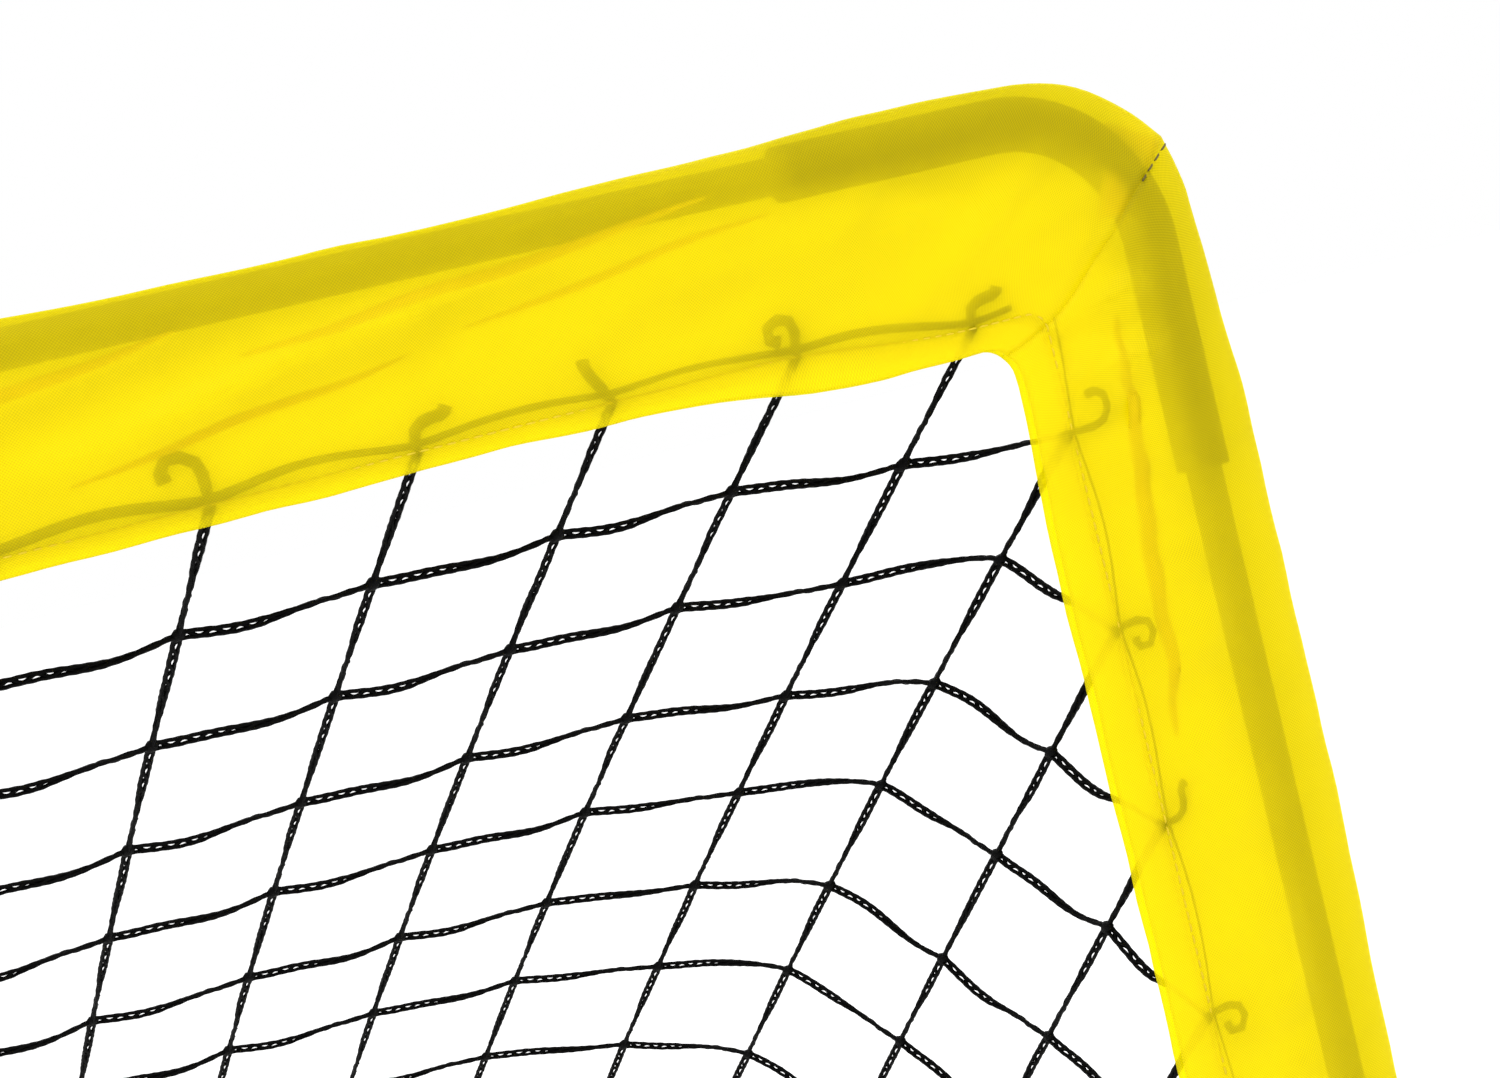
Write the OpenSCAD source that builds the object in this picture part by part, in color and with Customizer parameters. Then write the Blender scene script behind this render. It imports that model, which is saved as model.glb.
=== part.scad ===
// Portable folding sports goal: a fibreglass front frame in a sewn polyester
// sleeve stands on a steel ground frame and folds back flat onto it.
// The mouth faces -Y, the net runs back to +Y, and z = 0 is the ground.

/* [Goal] */
// Width between the centre lines of the posts
goal_w = 1830; // [1500:10:2400]
// Height of the crossbar's centre line above the ground
goal_h = 1220; // [1000:10:1500]
// Depth from the posts to the rear bar, centre to centre
goal_d = 1100; // [700:10:1200]

/* [Front frame] */
// Outer diameter of the fibreglass rods
rod_d = 9.5; // [8:0.5:10]
// Diameter of the hole along the fibreglass rods
rod_bore = 5; // [4:0.5:5]
// Outer diameter of the moulded top elbows
elbow_d = 14; // [13:0.5:14.5]
// Centre-line bend radius of the top elbows
elbow_bend = 38; // [30:1:50]
// Length of the straight socket at each end of a top elbow
elbow_leg = 61; // [40:1:66]
// Outer diameter of the ferrules that join the rods
ferrule_d = 13; // [12.5:0.5:14]
// Length of a ferrule
ferrule_l = 76; // [60:2:100]
// Number of rods along the crossbar
bar_rods = 4; // [3:1:5]

/* [Sleeve and net] */
// Width of the sleeve laid flat, hem flap included
sleeve_w = 60; // [55:1:65]
// Width of the hem flap outside the seam
flap_w = 9.5; // [8:0.5:11]
// Thickness of the sleeve's wall
sleeve_t = 0.8; // [0.6:0.1:0.9]
// How far the post sleeves hang out past the rods
post_slack = 6; // [0:0.5:7]
// Thickness of the net panels
net_t = 1; // [0.8:0.1:1.5]

/* [Ground frame] */
// Outer diameter of the steel ground tubes
base_d = 22; // [20:0.5:22]
// Wall thickness of the steel ground tubes
base_wall = 1.5; // [1.2:0.1:1.6]
// Centre-line bend radius of the rear elbows
rear_bend = 60; // [50:1:80]
// Length of a rear elbow's spigot inside the next tube
spigot_l = 45; // [40:1:60]
// Height of the front frame's pivot above the ground
pivot_z = 46; // [44:1:50]
// Distance of the pivot behind the posts
pivot_back = 14; // [13:0.5:16]

/* [Snap buttons] */
// Diameter of a snap button
button_d = 6; // [5:0.5:6]
// How far a snap button stands out of the tube
button_proud = 2.5; // [2:0.1:3]

/* [Hidden] */
$fn = 48;

steel = "#1d1e20";
zinc = "#b9bcc0";
fibreglass = "#4b4a40";
moulded = "#1b1b1c";
sleeve_yellow = "#f7e400";
net_black = "#101010";

half_w = goal_w / 2;
front_y = -goal_d / 2;
rear_y = goal_d / 2;
shell_t = 3;             // bracket plates and the rear feet's walls
rubber_t = 2;            // pads under the brackets
foot_h = rubber_t + shell_t;
base_r = base_d / 2;
base_z = foot_h + base_r;
rear_r = base_r + shell_t;

rod_gap = 0.5;           // end gap between two rods on the shock cord
fit = 0.1;               // radial clearance of what slides together
pin_fit = 0.08;          // radial clearance of a running pin
cord_r = 1.5;

socket_r = 10.7;
socket_top = 150;
socket_floor = pivot_z - 1;   // its corner must swing past the stop plate
rod_floor = socket_floor + 6; // where the lowest rod stands in its socket
barrel_r = 13;
socket_rib_t = 8;
pivot_r = 4;
stop_gap = 0.3;          // left between the socket and the stop plate
ear_gap = base_r + 0.1;
ear_len = 40;            // how far the bracket reaches behind the post
ear_top = 62;
clamp_bolt_r = 3;
clamp_bolt_y = front_y + 28;
washer_t = 1.2;

post_top = goal_h - elbow_bend;
post_mid = (rod_floor + post_top) / 2;
bar_end = half_w - elbow_bend;
bar_pitch = 2 * bar_end / bar_rods;

sleeve_r = 8.2;          // round the rods and elbows
hem_r = 2.3;             // half the thickness of the hem
border_r = 1.35;
seam_in = sleeve_w - flap_w - sleeve_r;
border_in = seam_in - 1.5;
hem_in = sleeve_w - sleeve_r - hem_r;
sleeve_foot = socket_top + 4;

rail_front = front_y - 8;
rail_rear = rear_y - rear_bend;
bar_half = half_w - rear_bend;
spigot_r = base_r - base_wall - fit;
spigot_bore = spigot_r - base_wall;
coupler_l = 120;
button_r = button_d / 2;
button_top = base_r + button_proud;
button_back = 25;        // from the end of a tube to its snap button
flange_r = 4.5;
flange_t = 1.2;
flange_top = 6.3;
leaf_w = 6;
leaf_t = 0.5;
leaf_l = 18;

tape_t = 1.5;
tape_h = 12;
tape_in = base_r + 0.3;
strap_w = 25;
strap_t = 1.2;
net_side_x = half_w - 29;
net_foot_z = 29;

// --- helpers ---------------------------------------------------------------

module on_side(side) {
    if (side < 0) mirror([1, 0, 0]) children();
    else children();
}

module both_sides() {
    for (side = [-1, 1]) on_side(side) children();
}

module along_x(x0, x1, y, z, r) {
    translate([x0, y, z]) rotate([0, 90, 0]) cylinder(r = r, h = x1 - x0);
}

module along_y(y0, y1, x, z, r) {
    translate([x, y0, z]) rotate([-90, 0, 0]) cylinder(r = r, h = y1 - y0);
}

module along_z(z0, z1, x, y, r) {
    translate([x, y, z0]) cylinder(r = r, h = z1 - z0);
}

module tube_z(z0, z1, x, y, r, bore) {
    difference() {
        along_z(z0, z1, x, y, r);
        along_z(z0 - 1, z1 + 1, x, y, bore);
    }
}

module tube_x(x0, x1, y, z, r, bore) {
    difference() {
        along_x(x0, x1, y, z, r);
        along_x(x0 - 1, x1 + 1, y, z, bore);
    }
}

module tube_y(y0, y1, x, z, r, bore) {
    difference() {
        along_y(y0, y1, x, z, r);
        along_y(y0 - 1, y1 + 1, x, z, bore);
    }
}

// A quarter bend whose corner is at the origin: one leg runs to -X and one to -Y.
module quarter_bend(bend, r, bore) {
    translate([-bend, -bend, 0]) rotate_extrude(angle = 90)
        translate([bend, 0]) difference() {
            circle(r = r);
            if (bore > 0) circle(r = bore);
        }
}

// The sleeve's cross-section, round over the rod at the origin and flat to +X:
// its outside where wall is 0, and the room inside it where wall is its thickness.
// With slack it hangs out past the rod to -X.
module sleeve_outline(wall, slack) {
    hull() {
        circle(r = sleeve_r - wall, $fn = 32);
        if (slack > 0) translate([-slack - 3, 0]) circle(r = sleeve_r - 3 - wall, $fn = 32);
        if (wall > 0) translate([border_in - slack, 0]) circle(r = 1.5, $fn = 16);
        else translate([hem_in - slack, 0]) circle(r = hem_r, $fn = 16);
    }
}

module hex_bar(flats, length) {
    cylinder(d = flats / cos(30), h = length, $fn = 6);
}

// --- ground frame ----------------------------------------------------------

module side_rail(side) {
    color(steel) on_side(side) difference() {
        tube_y(rail_front, rail_rear, half_w, base_z, base_r, base_r - base_wall);
        along_z(base_z, base_z + base_d, half_w, rail_rear - button_back, button_r + pin_fit);
        along_x(half_w - base_d, half_w + base_d, clamp_bolt_y, base_z, clamp_bolt_r + pin_fit);
    }
}

module rear_elbow(side) {
    color(steel) on_side(side) difference() {
        union() {
            translate([half_w, rear_y, base_z])
                quarter_bend(rear_bend, base_r, spigot_bore);
            tube_y(rail_rear - spigot_l, rail_rear, half_w, base_z, spigot_r, spigot_bore);
            tube_x(bar_half - spigot_l, bar_half, rear_y, base_z, spigot_r, spigot_bore);
        }
        along_z(base_z, base_z + base_d, half_w, rail_rear - button_back, button_r + pin_fit);
        along_z(base_z, base_z + base_d, bar_half - button_back, rear_y, button_r + pin_fit);
    }
}

module rear_bar(side) {
    color(steel) on_side(side) difference() {
        tube_x(rod_gap / 2, bar_half, rear_y, base_z, base_r, base_r - base_wall);
        along_z(base_z, base_z + base_d, bar_half - button_back, rear_y, button_r + pin_fit);
        if (side > 0)
            along_z(base_z, base_z + base_d, button_back, rear_y, button_r + pin_fit);
    }
}

module rear_coupler() {
    color(steel) difference() {
        tube_x(-coupler_l / 2, coupler_l / 2, rear_y, base_z, spigot_r, spigot_bore);
        along_z(base_z, base_z + base_d, button_back, rear_y, button_r + pin_fit);
    }
}

// A channel under and beside the rail, whose front plate stops the post upright.
module hinge_bracket(side) {
    plate_y = front_y - socket_r - stop_gap;
    color(steel) on_side(side) difference() {
        union() {
            for (x = [-ear_gap - shell_t, ear_gap])
                translate([half_w + x, front_y - rear_r, rubber_t])
                    cube([shell_t, ear_len + rear_r, ear_top - rubber_t]);
            translate([half_w - ear_gap - 1, front_y - rear_r, rubber_t])
                cube([2 * ear_gap + 2, ear_len + rear_r, shell_t - 0.1]);
            translate([half_w - ear_gap - 1, front_y - rear_r, rubber_t])
                cube([2 * ear_gap + 2, plate_y - front_y + rear_r, ear_top - rubber_t]);
        }
        along_x(half_w - base_d, half_w + base_d, front_y + pivot_back, pivot_z,
                pivot_r + pin_fit);
        along_x(half_w - base_d, half_w + base_d, clamp_bolt_y, base_z,
                clamp_bolt_r + pin_fit);
    }
}

// A bolt along X: its head outside the outer ear, its end past the inner nut.
module cross_bolt(y, z, r, head_flats, head_t, nut_t) {
    face = ear_gap + shell_t + washer_t;
    along_x(half_w - face - nut_t - 1, half_w + face, y, z, r);
    translate([half_w + face, y, z]) rotate([0, 90, 0]) hex_bar(head_flats, head_t);
}

module cross_nut(y, z, r, flats, nut_t) {
    face = ear_gap + shell_t + washer_t;
    difference() {
        translate([half_w - face - nut_t, y, z]) rotate([0, 90, 0]) hex_bar(flats, nut_t);
        along_x(half_w - 2 * base_d, half_w, y, z, r);
    }
}

module cross_washers(y, z, r, rim_r) {
    for (x = [-ear_gap - shell_t - washer_t, ear_gap + shell_t])
        tube_x(half_w + x, half_w + x + washer_t, y, z, rim_r, r + pin_fit);
}

module pivot_bolts() {
    color(zinc) both_sides()
        cross_bolt(front_y + pivot_back, pivot_z, pivot_r, 13, 5.3, 6.5);
}

module pivot_nuts() {
    color(zinc) both_sides()
        cross_nut(front_y + pivot_back, pivot_z, pivot_r, 13, 6.5);
}

module pivot_washers() {
    color(zinc) both_sides() {
        cross_washers(front_y + pivot_back, pivot_z, pivot_r, 8);
        cross_washers(clamp_bolt_y, base_z, clamp_bolt_r, 6);
    }
}

module bracket_bolts() {
    color(zinc) both_sides()
        cross_bolt(clamp_bolt_y, base_z, clamp_bolt_r, 10, 4, 5);
}

module bracket_nuts() {
    color(zinc) both_sides()
        cross_nut(clamp_bolt_y, base_z, clamp_bolt_r, 10, 5);
}

module rail_end_plugs() {
    color(moulded) both_sides() {
        along_y(rail_front - 2.5, rail_front, half_w, base_z, base_r - 0.2);
        along_y(rail_front - 0.5, rail_front + 15, half_w, base_z, base_r - base_wall - fit);
    }
}

// Flat pads under the brackets, and saddle feet glued under the rear tubes.
module rubber_feet() {
    color("#222222") {
        both_sides() translate([half_w - ear_gap - shell_t, front_y - rear_r, 0])
            cube([2 * (ear_gap + shell_t), ear_len + rear_r, rubber_t]);
        for (x = [-bar_half + 110, 0, bar_half - 110])
            difference() {
                union() {
                    along_x(x - 20, x + 20, rear_y, base_z, rear_r);
                    translate([x - 20, rear_y - 10, 0]) cube([40, 20, foot_h]);
                }
                along_x(x - 21, x + 21, rear_y, base_z, base_r + 0.05);
                translate([x - 21, rear_y - base_d, base_z - tape_h / 2 - 0.5])
                    cube([42, 2 * base_d, 2 * base_d]);
            }
    }
}

// --- snap buttons and their leaf springs -----------------------------------

module snap_button(x, y) {
    color(zinc) {
        along_z(base_z + flange_top - 0.5, base_z + button_top - 1, x, y, button_r);
        translate([x, y, base_z + button_top - 1])
            cylinder(r1 = button_r, r2 = button_r - 1, h = 1);
        along_z(base_z + flange_top - flange_t, base_z + flange_top, x, y, flange_r);
    }
}

// A folded strip: its top leaf presses on the button and its lower leaf lies in the bore.
module leaf_spring(x, y, turn) {
    top = flange_top - flange_t - 0.1;
    low = 0.1 - sqrt(pow(spigot_bore, 2) - pow(leaf_w / 2, 2));
    color(zinc) translate([x, y, base_z]) rotate([0, 0, turn]) {
        for (z = [top - leaf_t, low])
            translate([0, -leaf_w / 2, z]) cube([leaf_l, leaf_w, leaf_t]);
        translate([leaf_l - leaf_t, -leaf_w / 2, low]) cube([leaf_t, leaf_w, top - low]);
    }
}

module snap_springs() {
    both_sides() {
        leaf_spring(half_w, rail_rear - button_back, 90);
        leaf_spring(bar_half - button_back, rear_y, 0);
    }
    leaf_spring(button_back, rear_y, 180);
}

// --- net and its lower hem -------------------------------------------------

net_top = goal_h - hem_in;
net_rear = rear_y - tape_in - tape_t - 1;
net_front = front_y + 5;

module back_net() {
    rise = net_top - net_foot_z;
    run = net_rear - net_front;
    lean = atan2(run, rise);
    color(net_black) translate([-net_side_x + 6, net_front, net_top])
        rotate([lean, 0, 0]) translate([0, 0, -norm([rise, run])])
            cube([2 * net_side_x - 12, net_t, norm([rise, run])]);
}

module side_net(side) {
    slope = (net_rear - net_front) / (net_top - net_foot_z);
    top = net_top - 14;
    color(net_black) on_side(side)
        translate([net_side_x, 0, 0]) rotate([90, 0, 90])
            linear_extrude(height = net_t) polygon([
                [net_front + 6, top - 6 / slope],
                [net_front + 6, ear_top + 4],
                [front_y + ear_len + 4, ear_top + 4],
                [front_y + ear_len + 4, net_foot_z],
                [net_front + slope * (top - net_foot_z), net_foot_z]
            ]);
}

module hem_tape_side(side) {
    color(net_black) on_side(side)
        translate([half_w - tape_in - tape_t, front_y + ear_len + 4, base_z - tape_h / 2])
            cube([tape_t, rail_rear - front_y - ear_len - 4, tape_h]);
}

module hem_tape_rear() {
    color(net_black)
        translate([-bar_half, rear_y - tape_in - tape_t, base_z - tape_h / 2])
            cube([2 * bar_half, tape_t, tape_h]);
}

// A hook-and-loop strap round a tube along Z with the tape on its -X side.
module strap() {
    inner = [base_d + tape_t + 1, base_d + 0.6];
    translate([-(tape_t + 0.4) / 2, 0, 0]) difference() {
        linear_extrude(height = strap_w) offset(r = 5, $fn = 20)
            square([inner[0] + 2 * strap_t - 10, inner[1] + 2 * strap_t - 10], center = true);
        translate([0, 0, -1]) linear_extrude(height = strap_w + 2)
            offset(r = 4, $fn = 20) square([inner[0] - 8, inner[1] - 8], center = true);
    }
}

module hem_straps() {
    color(net_black) {
        both_sides() for (k = [1:4])
            translate([half_w, front_y + k * (rail_rear - front_y - 40) / 5 + strap_w / 2, base_z])
                rotate([90, 0, 0]) strap();
        both_sides() for (share = [0.13, 0.44, 0.75])
            translate([share * bar_half, rear_y, base_z]) rotate([90, 0, 90]) strap();
    }
}

// --- front frame -----------------------------------------------------------

// Moulded socket: a barrel turns on the pivot bolt, and the post stands in front of it.
module post_socket(side) {
    y_pivot = front_y + pivot_back;
    color(moulded) on_side(side) difference() {
        union() {
            along_x(half_w - base_r, half_w + base_r, y_pivot, pivot_z, barrel_r);
            along_z(socket_floor, socket_top - 6, half_w, front_y, socket_r);
            translate([half_w, front_y, socket_top - 6])
                cylinder(r1 = socket_r, r2 = 8, h = 6);
            translate([half_w - socket_rib_t / 2, front_y, pivot_z])
                cube([socket_rib_t, pivot_back + 4, 44]);
        }
        along_x(half_w - base_d, half_w + base_d, y_pivot, pivot_z, pivot_r + pin_fit);
        along_z(rod_floor, socket_top + 1, half_w, front_y, rod_d / 2 + fit);
    }
}

module post_rod(side, z0, z1) {
    color(fibreglass) on_side(side)
        tube_z(z0, z1, half_w, front_y, rod_d / 2, rod_bore / 2);
}

module post_ferrule(side) {
    color(zinc) on_side(side)
        tube_z(post_mid - ferrule_l / 2, post_mid + ferrule_l / 2, half_w, front_y,
               ferrule_d / 2, rod_d / 2 + fit);
}

module top_elbow(side) {
    bore = cord_r + 1.5;
    color(moulded) on_side(side) translate([half_w, front_y, goal_h])
        rotate([90, 0, 0]) {
            quarter_bend(elbow_bend, elbow_d / 2, bore);
            translate([-elbow_bend - elbow_leg, 0, 0])
                tube_x(0, elbow_leg, 0, 0, elbow_d / 2, rod_d / 2 + fit);
            translate([0, -elbow_bend - elbow_leg, 0])
                tube_y(0, elbow_leg, 0, 0, elbow_d / 2, rod_d / 2 + fit);
        }
}

// The crossbar's rods on one side of its middle; an odd number puts one more on the right.
module crossbar_rods(side) {
    color(fibreglass)
        for (k = [0 : bar_rods - 1]) {
            x0 = -bar_end + k * bar_pitch;
            on_the_left = x0 + bar_pitch / 2 < -1;
            if (on_the_left == (side < 0))
                tube_x(x0 + rod_gap, x0 + bar_pitch - rod_gap, front_y, goal_h,
                       rod_d / 2, rod_bore / 2);
        }
}

module crossbar_ferrules() {
    color(zinc)
        for (k = [1 : bar_rods - 1]) {
            x = -bar_end + k * bar_pitch;
            tube_x(x - ferrule_l / 2, x + ferrule_l / 2, front_y, goal_h,
                   ferrule_d / 2, rod_d / 2 + fit);
        }
}

module shock_cord() {
    color("#f2f2f2") {
        both_sides() {
            along_z(rod_floor + 4, post_top, half_w, front_y, cord_r);
            translate([half_w, front_y, rod_floor + 4]) sphere(r = 2.2);
            translate([half_w, front_y, goal_h]) rotate([90, 0, 0])
                quarter_bend(elbow_bend, cord_r, 0);
        }
        along_x(-bar_end, bar_end, front_y, goal_h, cord_r);
    }
}

// --- sleeve ----------------------------------------------------------------

// The half-plane of the front frame that the mitred seam leaves to the crossbar.
module crossbar_side_of_mitre() {
    reach = half_w + sleeve_r + 1 + post_slack;
    inner = half_w - sleeve_w + post_slack;
    low = goal_h - sleeve_w;
    translate([0, front_y + 20, 0]) rotate([90, 0, 0]) linear_extrude(height = 40)
        polygon([
            [-reach, goal_h + sleeve_r + 1], [reach, goal_h + sleeve_r + 1],
            [inner, low], [-inner, low]
        ]);
}

// The round of the sleeve over a top elbow, or the room inside it.
module over_elbow(wall) {
    translate([half_w, front_y, goal_h]) rotate([90, 0, 0])
        quarter_bend(elbow_bend, sleeve_r - wall - 0.1, 0);
}

module crossbar_tube(wall) {
    translate([-goal_w, front_y, goal_h]) rotate([0, 90, 0])
        linear_extrude(height = 2 * goal_w) sleeve_outline(wall, 0);
    both_sides() over_elbow(wall);
}

module post_tube(wall) {
    translate([half_w, front_y, sleeve_foot - (wall > 0 ? 1 : 0)]) rotate([0, 0, 180])
        linear_extrude(height = goal_h + sleeve_r - sleeve_foot + 2 * wall)
            sleeve_outline(wall, post_slack);
    over_elbow(wall);
}

module crossbar_sleeve() {
    color(sleeve_yellow) intersection() {
        difference() {
            crossbar_tube(0);
            crossbar_tube(sleeve_t);
        }
        crossbar_side_of_mitre();
    }
}

module post_sleeve(side) {
    color(sleeve_yellow) on_side(side) difference() {
        post_tube(0);
        post_tube(sleeve_t);
        crossbar_side_of_mitre();
    }
}

module crossbar_border_cord() {
    reach = half_w - border_in + post_slack - border_r;
    color(net_black) along_x(-reach, reach, front_y, goal_h - border_in, border_r);
}

module post_border_cord(side) {
    color(net_black) on_side(side)
        along_z(sleeve_foot, goal_h - border_in - border_r - 0.3,
                half_w - border_in + post_slack, front_y, border_r);
}

// --- nodes -----------------------------------------------------------------

side_rail(-1);  // side_rail_left
side_rail(1);  // side_rail_right
rear_elbow(-1);  // rear_elbow_left
rear_elbow(1);  // rear_elbow_right
rear_bar(-1);  // rear_bar_left
rear_bar(1);  // rear_bar_right
rear_coupler();
hinge_bracket(-1);  // hinge_bracket_left
hinge_bracket(1);  // hinge_bracket_right
pivot_bolts();
pivot_nuts();
pivot_washers();
bracket_bolts();
bracket_nuts();
rail_end_plugs();
rubber_feet();
snap_springs();
snap_button(-half_w, rail_rear - button_back);  // rail_button_left
snap_button(half_w, rail_rear - button_back);  // rail_button_right
snap_button(-bar_half + button_back, rear_y);  // bar_button_left
snap_button(bar_half - button_back, rear_y);  // bar_button_right
snap_button(button_back, rear_y);  // coupler_button
back_net();
side_net(-1);  // side_net_left
side_net(1);  // side_net_right
hem_tape_side(-1);  // hem_tape_left
hem_tape_rear();
hem_tape_side(1);  // hem_tape_right
hem_straps();
post_socket(-1);  // post_socket_left
post_socket(1);  // post_socket_right
post_rod(-1, rod_floor, post_mid - rod_gap);  // post_rod_lower_left
post_rod(1, rod_floor, post_mid - rod_gap);  // post_rod_lower_right
post_rod(-1, post_mid, post_top - rod_gap);  // post_rod_upper_left
post_rod(1, post_mid, post_top - rod_gap);  // post_rod_upper_right
post_ferrule(-1);  // post_ferrule_left
post_ferrule(1);  // post_ferrule_right
top_elbow(-1);  // top_elbow_left
top_elbow(1);  // top_elbow_right
crossbar_rods(-1);  // crossbar_rods_left
crossbar_rods(1);  // crossbar_rods_right
crossbar_ferrules();
shock_cord();
crossbar_sleeve();
post_sleeve(-1);  // post_sleeve_left
post_sleeve(1);  // post_sleeve_right
crossbar_border_cord();
post_border_cord(-1);  // post_border_cord_left
post_border_cord(1);  // post_border_cord_right
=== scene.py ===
import math
import bpy
import numpy as np
from mathutils import Matrix, Vector, noise


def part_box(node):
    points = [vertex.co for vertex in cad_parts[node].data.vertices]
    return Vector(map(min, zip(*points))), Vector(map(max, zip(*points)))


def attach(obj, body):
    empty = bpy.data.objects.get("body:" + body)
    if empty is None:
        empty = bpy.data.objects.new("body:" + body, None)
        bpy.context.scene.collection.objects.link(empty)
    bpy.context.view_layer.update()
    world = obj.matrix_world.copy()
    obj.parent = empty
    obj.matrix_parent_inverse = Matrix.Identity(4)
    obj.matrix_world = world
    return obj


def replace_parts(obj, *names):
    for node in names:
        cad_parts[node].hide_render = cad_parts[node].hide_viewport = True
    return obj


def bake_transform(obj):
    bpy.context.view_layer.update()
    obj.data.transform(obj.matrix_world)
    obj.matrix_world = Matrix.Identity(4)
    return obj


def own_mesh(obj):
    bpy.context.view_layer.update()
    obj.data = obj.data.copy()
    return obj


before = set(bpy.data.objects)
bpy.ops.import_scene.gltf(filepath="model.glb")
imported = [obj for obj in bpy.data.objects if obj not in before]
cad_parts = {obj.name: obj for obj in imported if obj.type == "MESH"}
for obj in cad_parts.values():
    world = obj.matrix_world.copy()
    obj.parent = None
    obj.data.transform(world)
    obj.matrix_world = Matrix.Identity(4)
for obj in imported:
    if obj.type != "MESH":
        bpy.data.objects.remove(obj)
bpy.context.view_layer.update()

bl_info = {
    "name": "Folding sports goal",
    "version": (1, 0, 0),
    "blender": (4, 5, 0),
    "location": "3D View > Sidebar > Goal",
    "description": "Cloth sleeves, knotless net, sewing and finishes for a folding sports goal",
    "category": "Object",
}

# --- places taken from the frame (metres) -----------------------------------


def middle(node):
    """The centre of a CAD node's box."""
    low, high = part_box(node)
    return [(a + b) / 2 for a, b in zip(low, high)]


HALF_W = middle("post_rod_upper_right")[0]      # post centre line
FRONT_Y = middle("post_rod_upper_right")[1]
BAR_Z = middle("crossbar_rods_right")[2]        # crossbar centre line
REAR_Y = middle("rear_bar_right")[1]            # rear bar centre line
BASE_Z = middle("rear_bar_right")[2]
SLEEVE_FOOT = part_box("post_sleeve_right")[0][2]
TUBE_R = 0.011
BEND_R = 0.038                                  # centre-line radius of a top elbow
EDGE = 0.0082                                   # sleeve's outer edge from the rod's centre
TUBE_H = 0.0079                                 # half thickness of the sleeve over an elbow
SEAM_IN = 0.0423                                # seam line from the sleeve's round part
POST_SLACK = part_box("post_sleeve_right")[1][0] - HALF_W - EDGE   # post sleeves hang out past the rods
SEAM_X = HALF_W - SEAM_IN + POST_SLACK          # post seam from the goal's middle
BAR_EDGE = 0.0056                               # crossbar sleeve lies close over its rods
TOP_Z = BAR_Z - EDGE + BAR_EDGE                 # so its seam sits this much lower
SEAM_Z = TOP_Z - SEAM_IN                        # crossbar seam above the floor
REAR_BEND = 0.060
FERRULE_HALF = 0.038
FERRULES = [k * (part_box("crossbar_ferrules")[1][0] - FERRULE_HALF) for k in (-1, 0, 1)]

COLUMNS = 35        # mesh columns between the ends of the crossbar
ROWS = 33           # mesh rows from the crossbar to the rear bar
SIDE_COLUMNS = 19   # columns that start on each post
SIDE_ROWS = 19      # rows left where the side net reaches the front of the rail
POST_PITCH = 0.0528  # from one side column's seam to the next, down the post
REAR_HALF = 0.67    # half of the rear bar that the back net is sewn along
GRAVITY = 9.81
NET_PULL = (7.8, 18.4)   # fitted inward and backward pull on the net, m/s2; no real force
LEAST_SPAN = 0.72   # share of a cord's length below which two nodes push apart


def to_linear(value):
    """One sRGB channel, 0 to 1, as linear light."""
    return value / 12.92 if value <= 0.04045 else ((value + 0.055) / 1.055) ** 2.4


def paint(hex_colour):
    """Linear RGBA of an sRGB hex colour."""
    return (*[to_linear(int(hex_colour[k:k + 2], 16) / 255) for k in (1, 3, 5)], 1.0)


# --- settings a user would change --------------------------------------------


def size_prop(label, text, default, low, high):
    return bpy.props.FloatProperty(name=label, description=text, default=default, min=low,
                                   max=high, unit="LENGTH", precision=4)


def colour_prop(label, text, hex_colour):
    return bpy.props.FloatVectorProperty(name=label, description=text, size=3, subtype="COLOR",
                                         default=paint(hex_colour)[:3], min=0, max=1)


class GoalSizes(bpy.types.PropertyGroup):
    """Sizes of the cloth and net"""
    flap: size_prop("Flap", "Width of the hem flap outside the seam", 0.0100, 0.007, 0.012)
    mesh: size_prop("Mesh", "Cord length between two net nodes", 0.0506, 0.045, 0.055)
    cord_wide: size_prop("Cord width", "Width of the flat net cord", 0.0032, 0.002, 0.004)
    cord_thick: size_prop("Cord thickness", "Thickness of the flat net cord", 0.0018, 0.001,
                          0.003)
    stitch: size_prop("Stitch", "Length from one stitch to the next", 0.0033, 0.002, 0.006)


class GoalColours(bpy.types.PropertyGroup):
    """Colours of the finishes"""
    sleeve: colour_prop("Sleeve", "Woven polyester of the sleeves", "#EEDB00")
    twine: colour_prop("Net", "Knotless net twine and webbing", "#020202")
    # the thread is a little darker and more olive than the cloth: partly its own colour, partly painted
    # shade of the stitches and their needle holes
    thread: colour_prop("Thread", "Sewing thread", "#D9C100")
    steel: colour_prop("Ground tubes", "Powder coat of the steel", "#1D1E20")
    zinc: colour_prop("Fasteners", "Zinc-plated steel", "#B9BCC0")
    # the rods' dark grey is partly their colour and partly painted shade: it makes them show through
    # the sleeves as the shaded band along each rod
    rod: colour_prop("Rods", "Fibreglass rods", "#4B4A40")
    moulded: colour_prop("Mouldings", "Moulded nylon elbows, sockets and plugs", "#1B1B1C")
    rubber: colour_prop("Feet", "Rubber feet", "#222222")
    elastic: colour_prop("Elastic", "Cover of the elastic cord", "#F2F2F2")


def sizes():
    return bpy.context.scene.goal_sizes


def tint(name):
    """A colour setting as RGBA."""
    return (*getattr(bpy.context.scene.goal_colours, name), 1.0)


# --- materials ---------------------------------------------------------------


def add(tree, kind, inputs=None, **settings):
    """Adds a node; inputs maps a socket to a value or to the socket that feeds it."""
    made = tree.nodes.new(kind)
    for name, value in settings.items():
        setattr(made, name, value)
    for key, value in (inputs or {}).items():
        if isinstance(value, bpy.types.NodeSocket):
            tree.links.new(value, made.inputs[key])
        else:
            made.inputs[key].default_value = value
    return made


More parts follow.
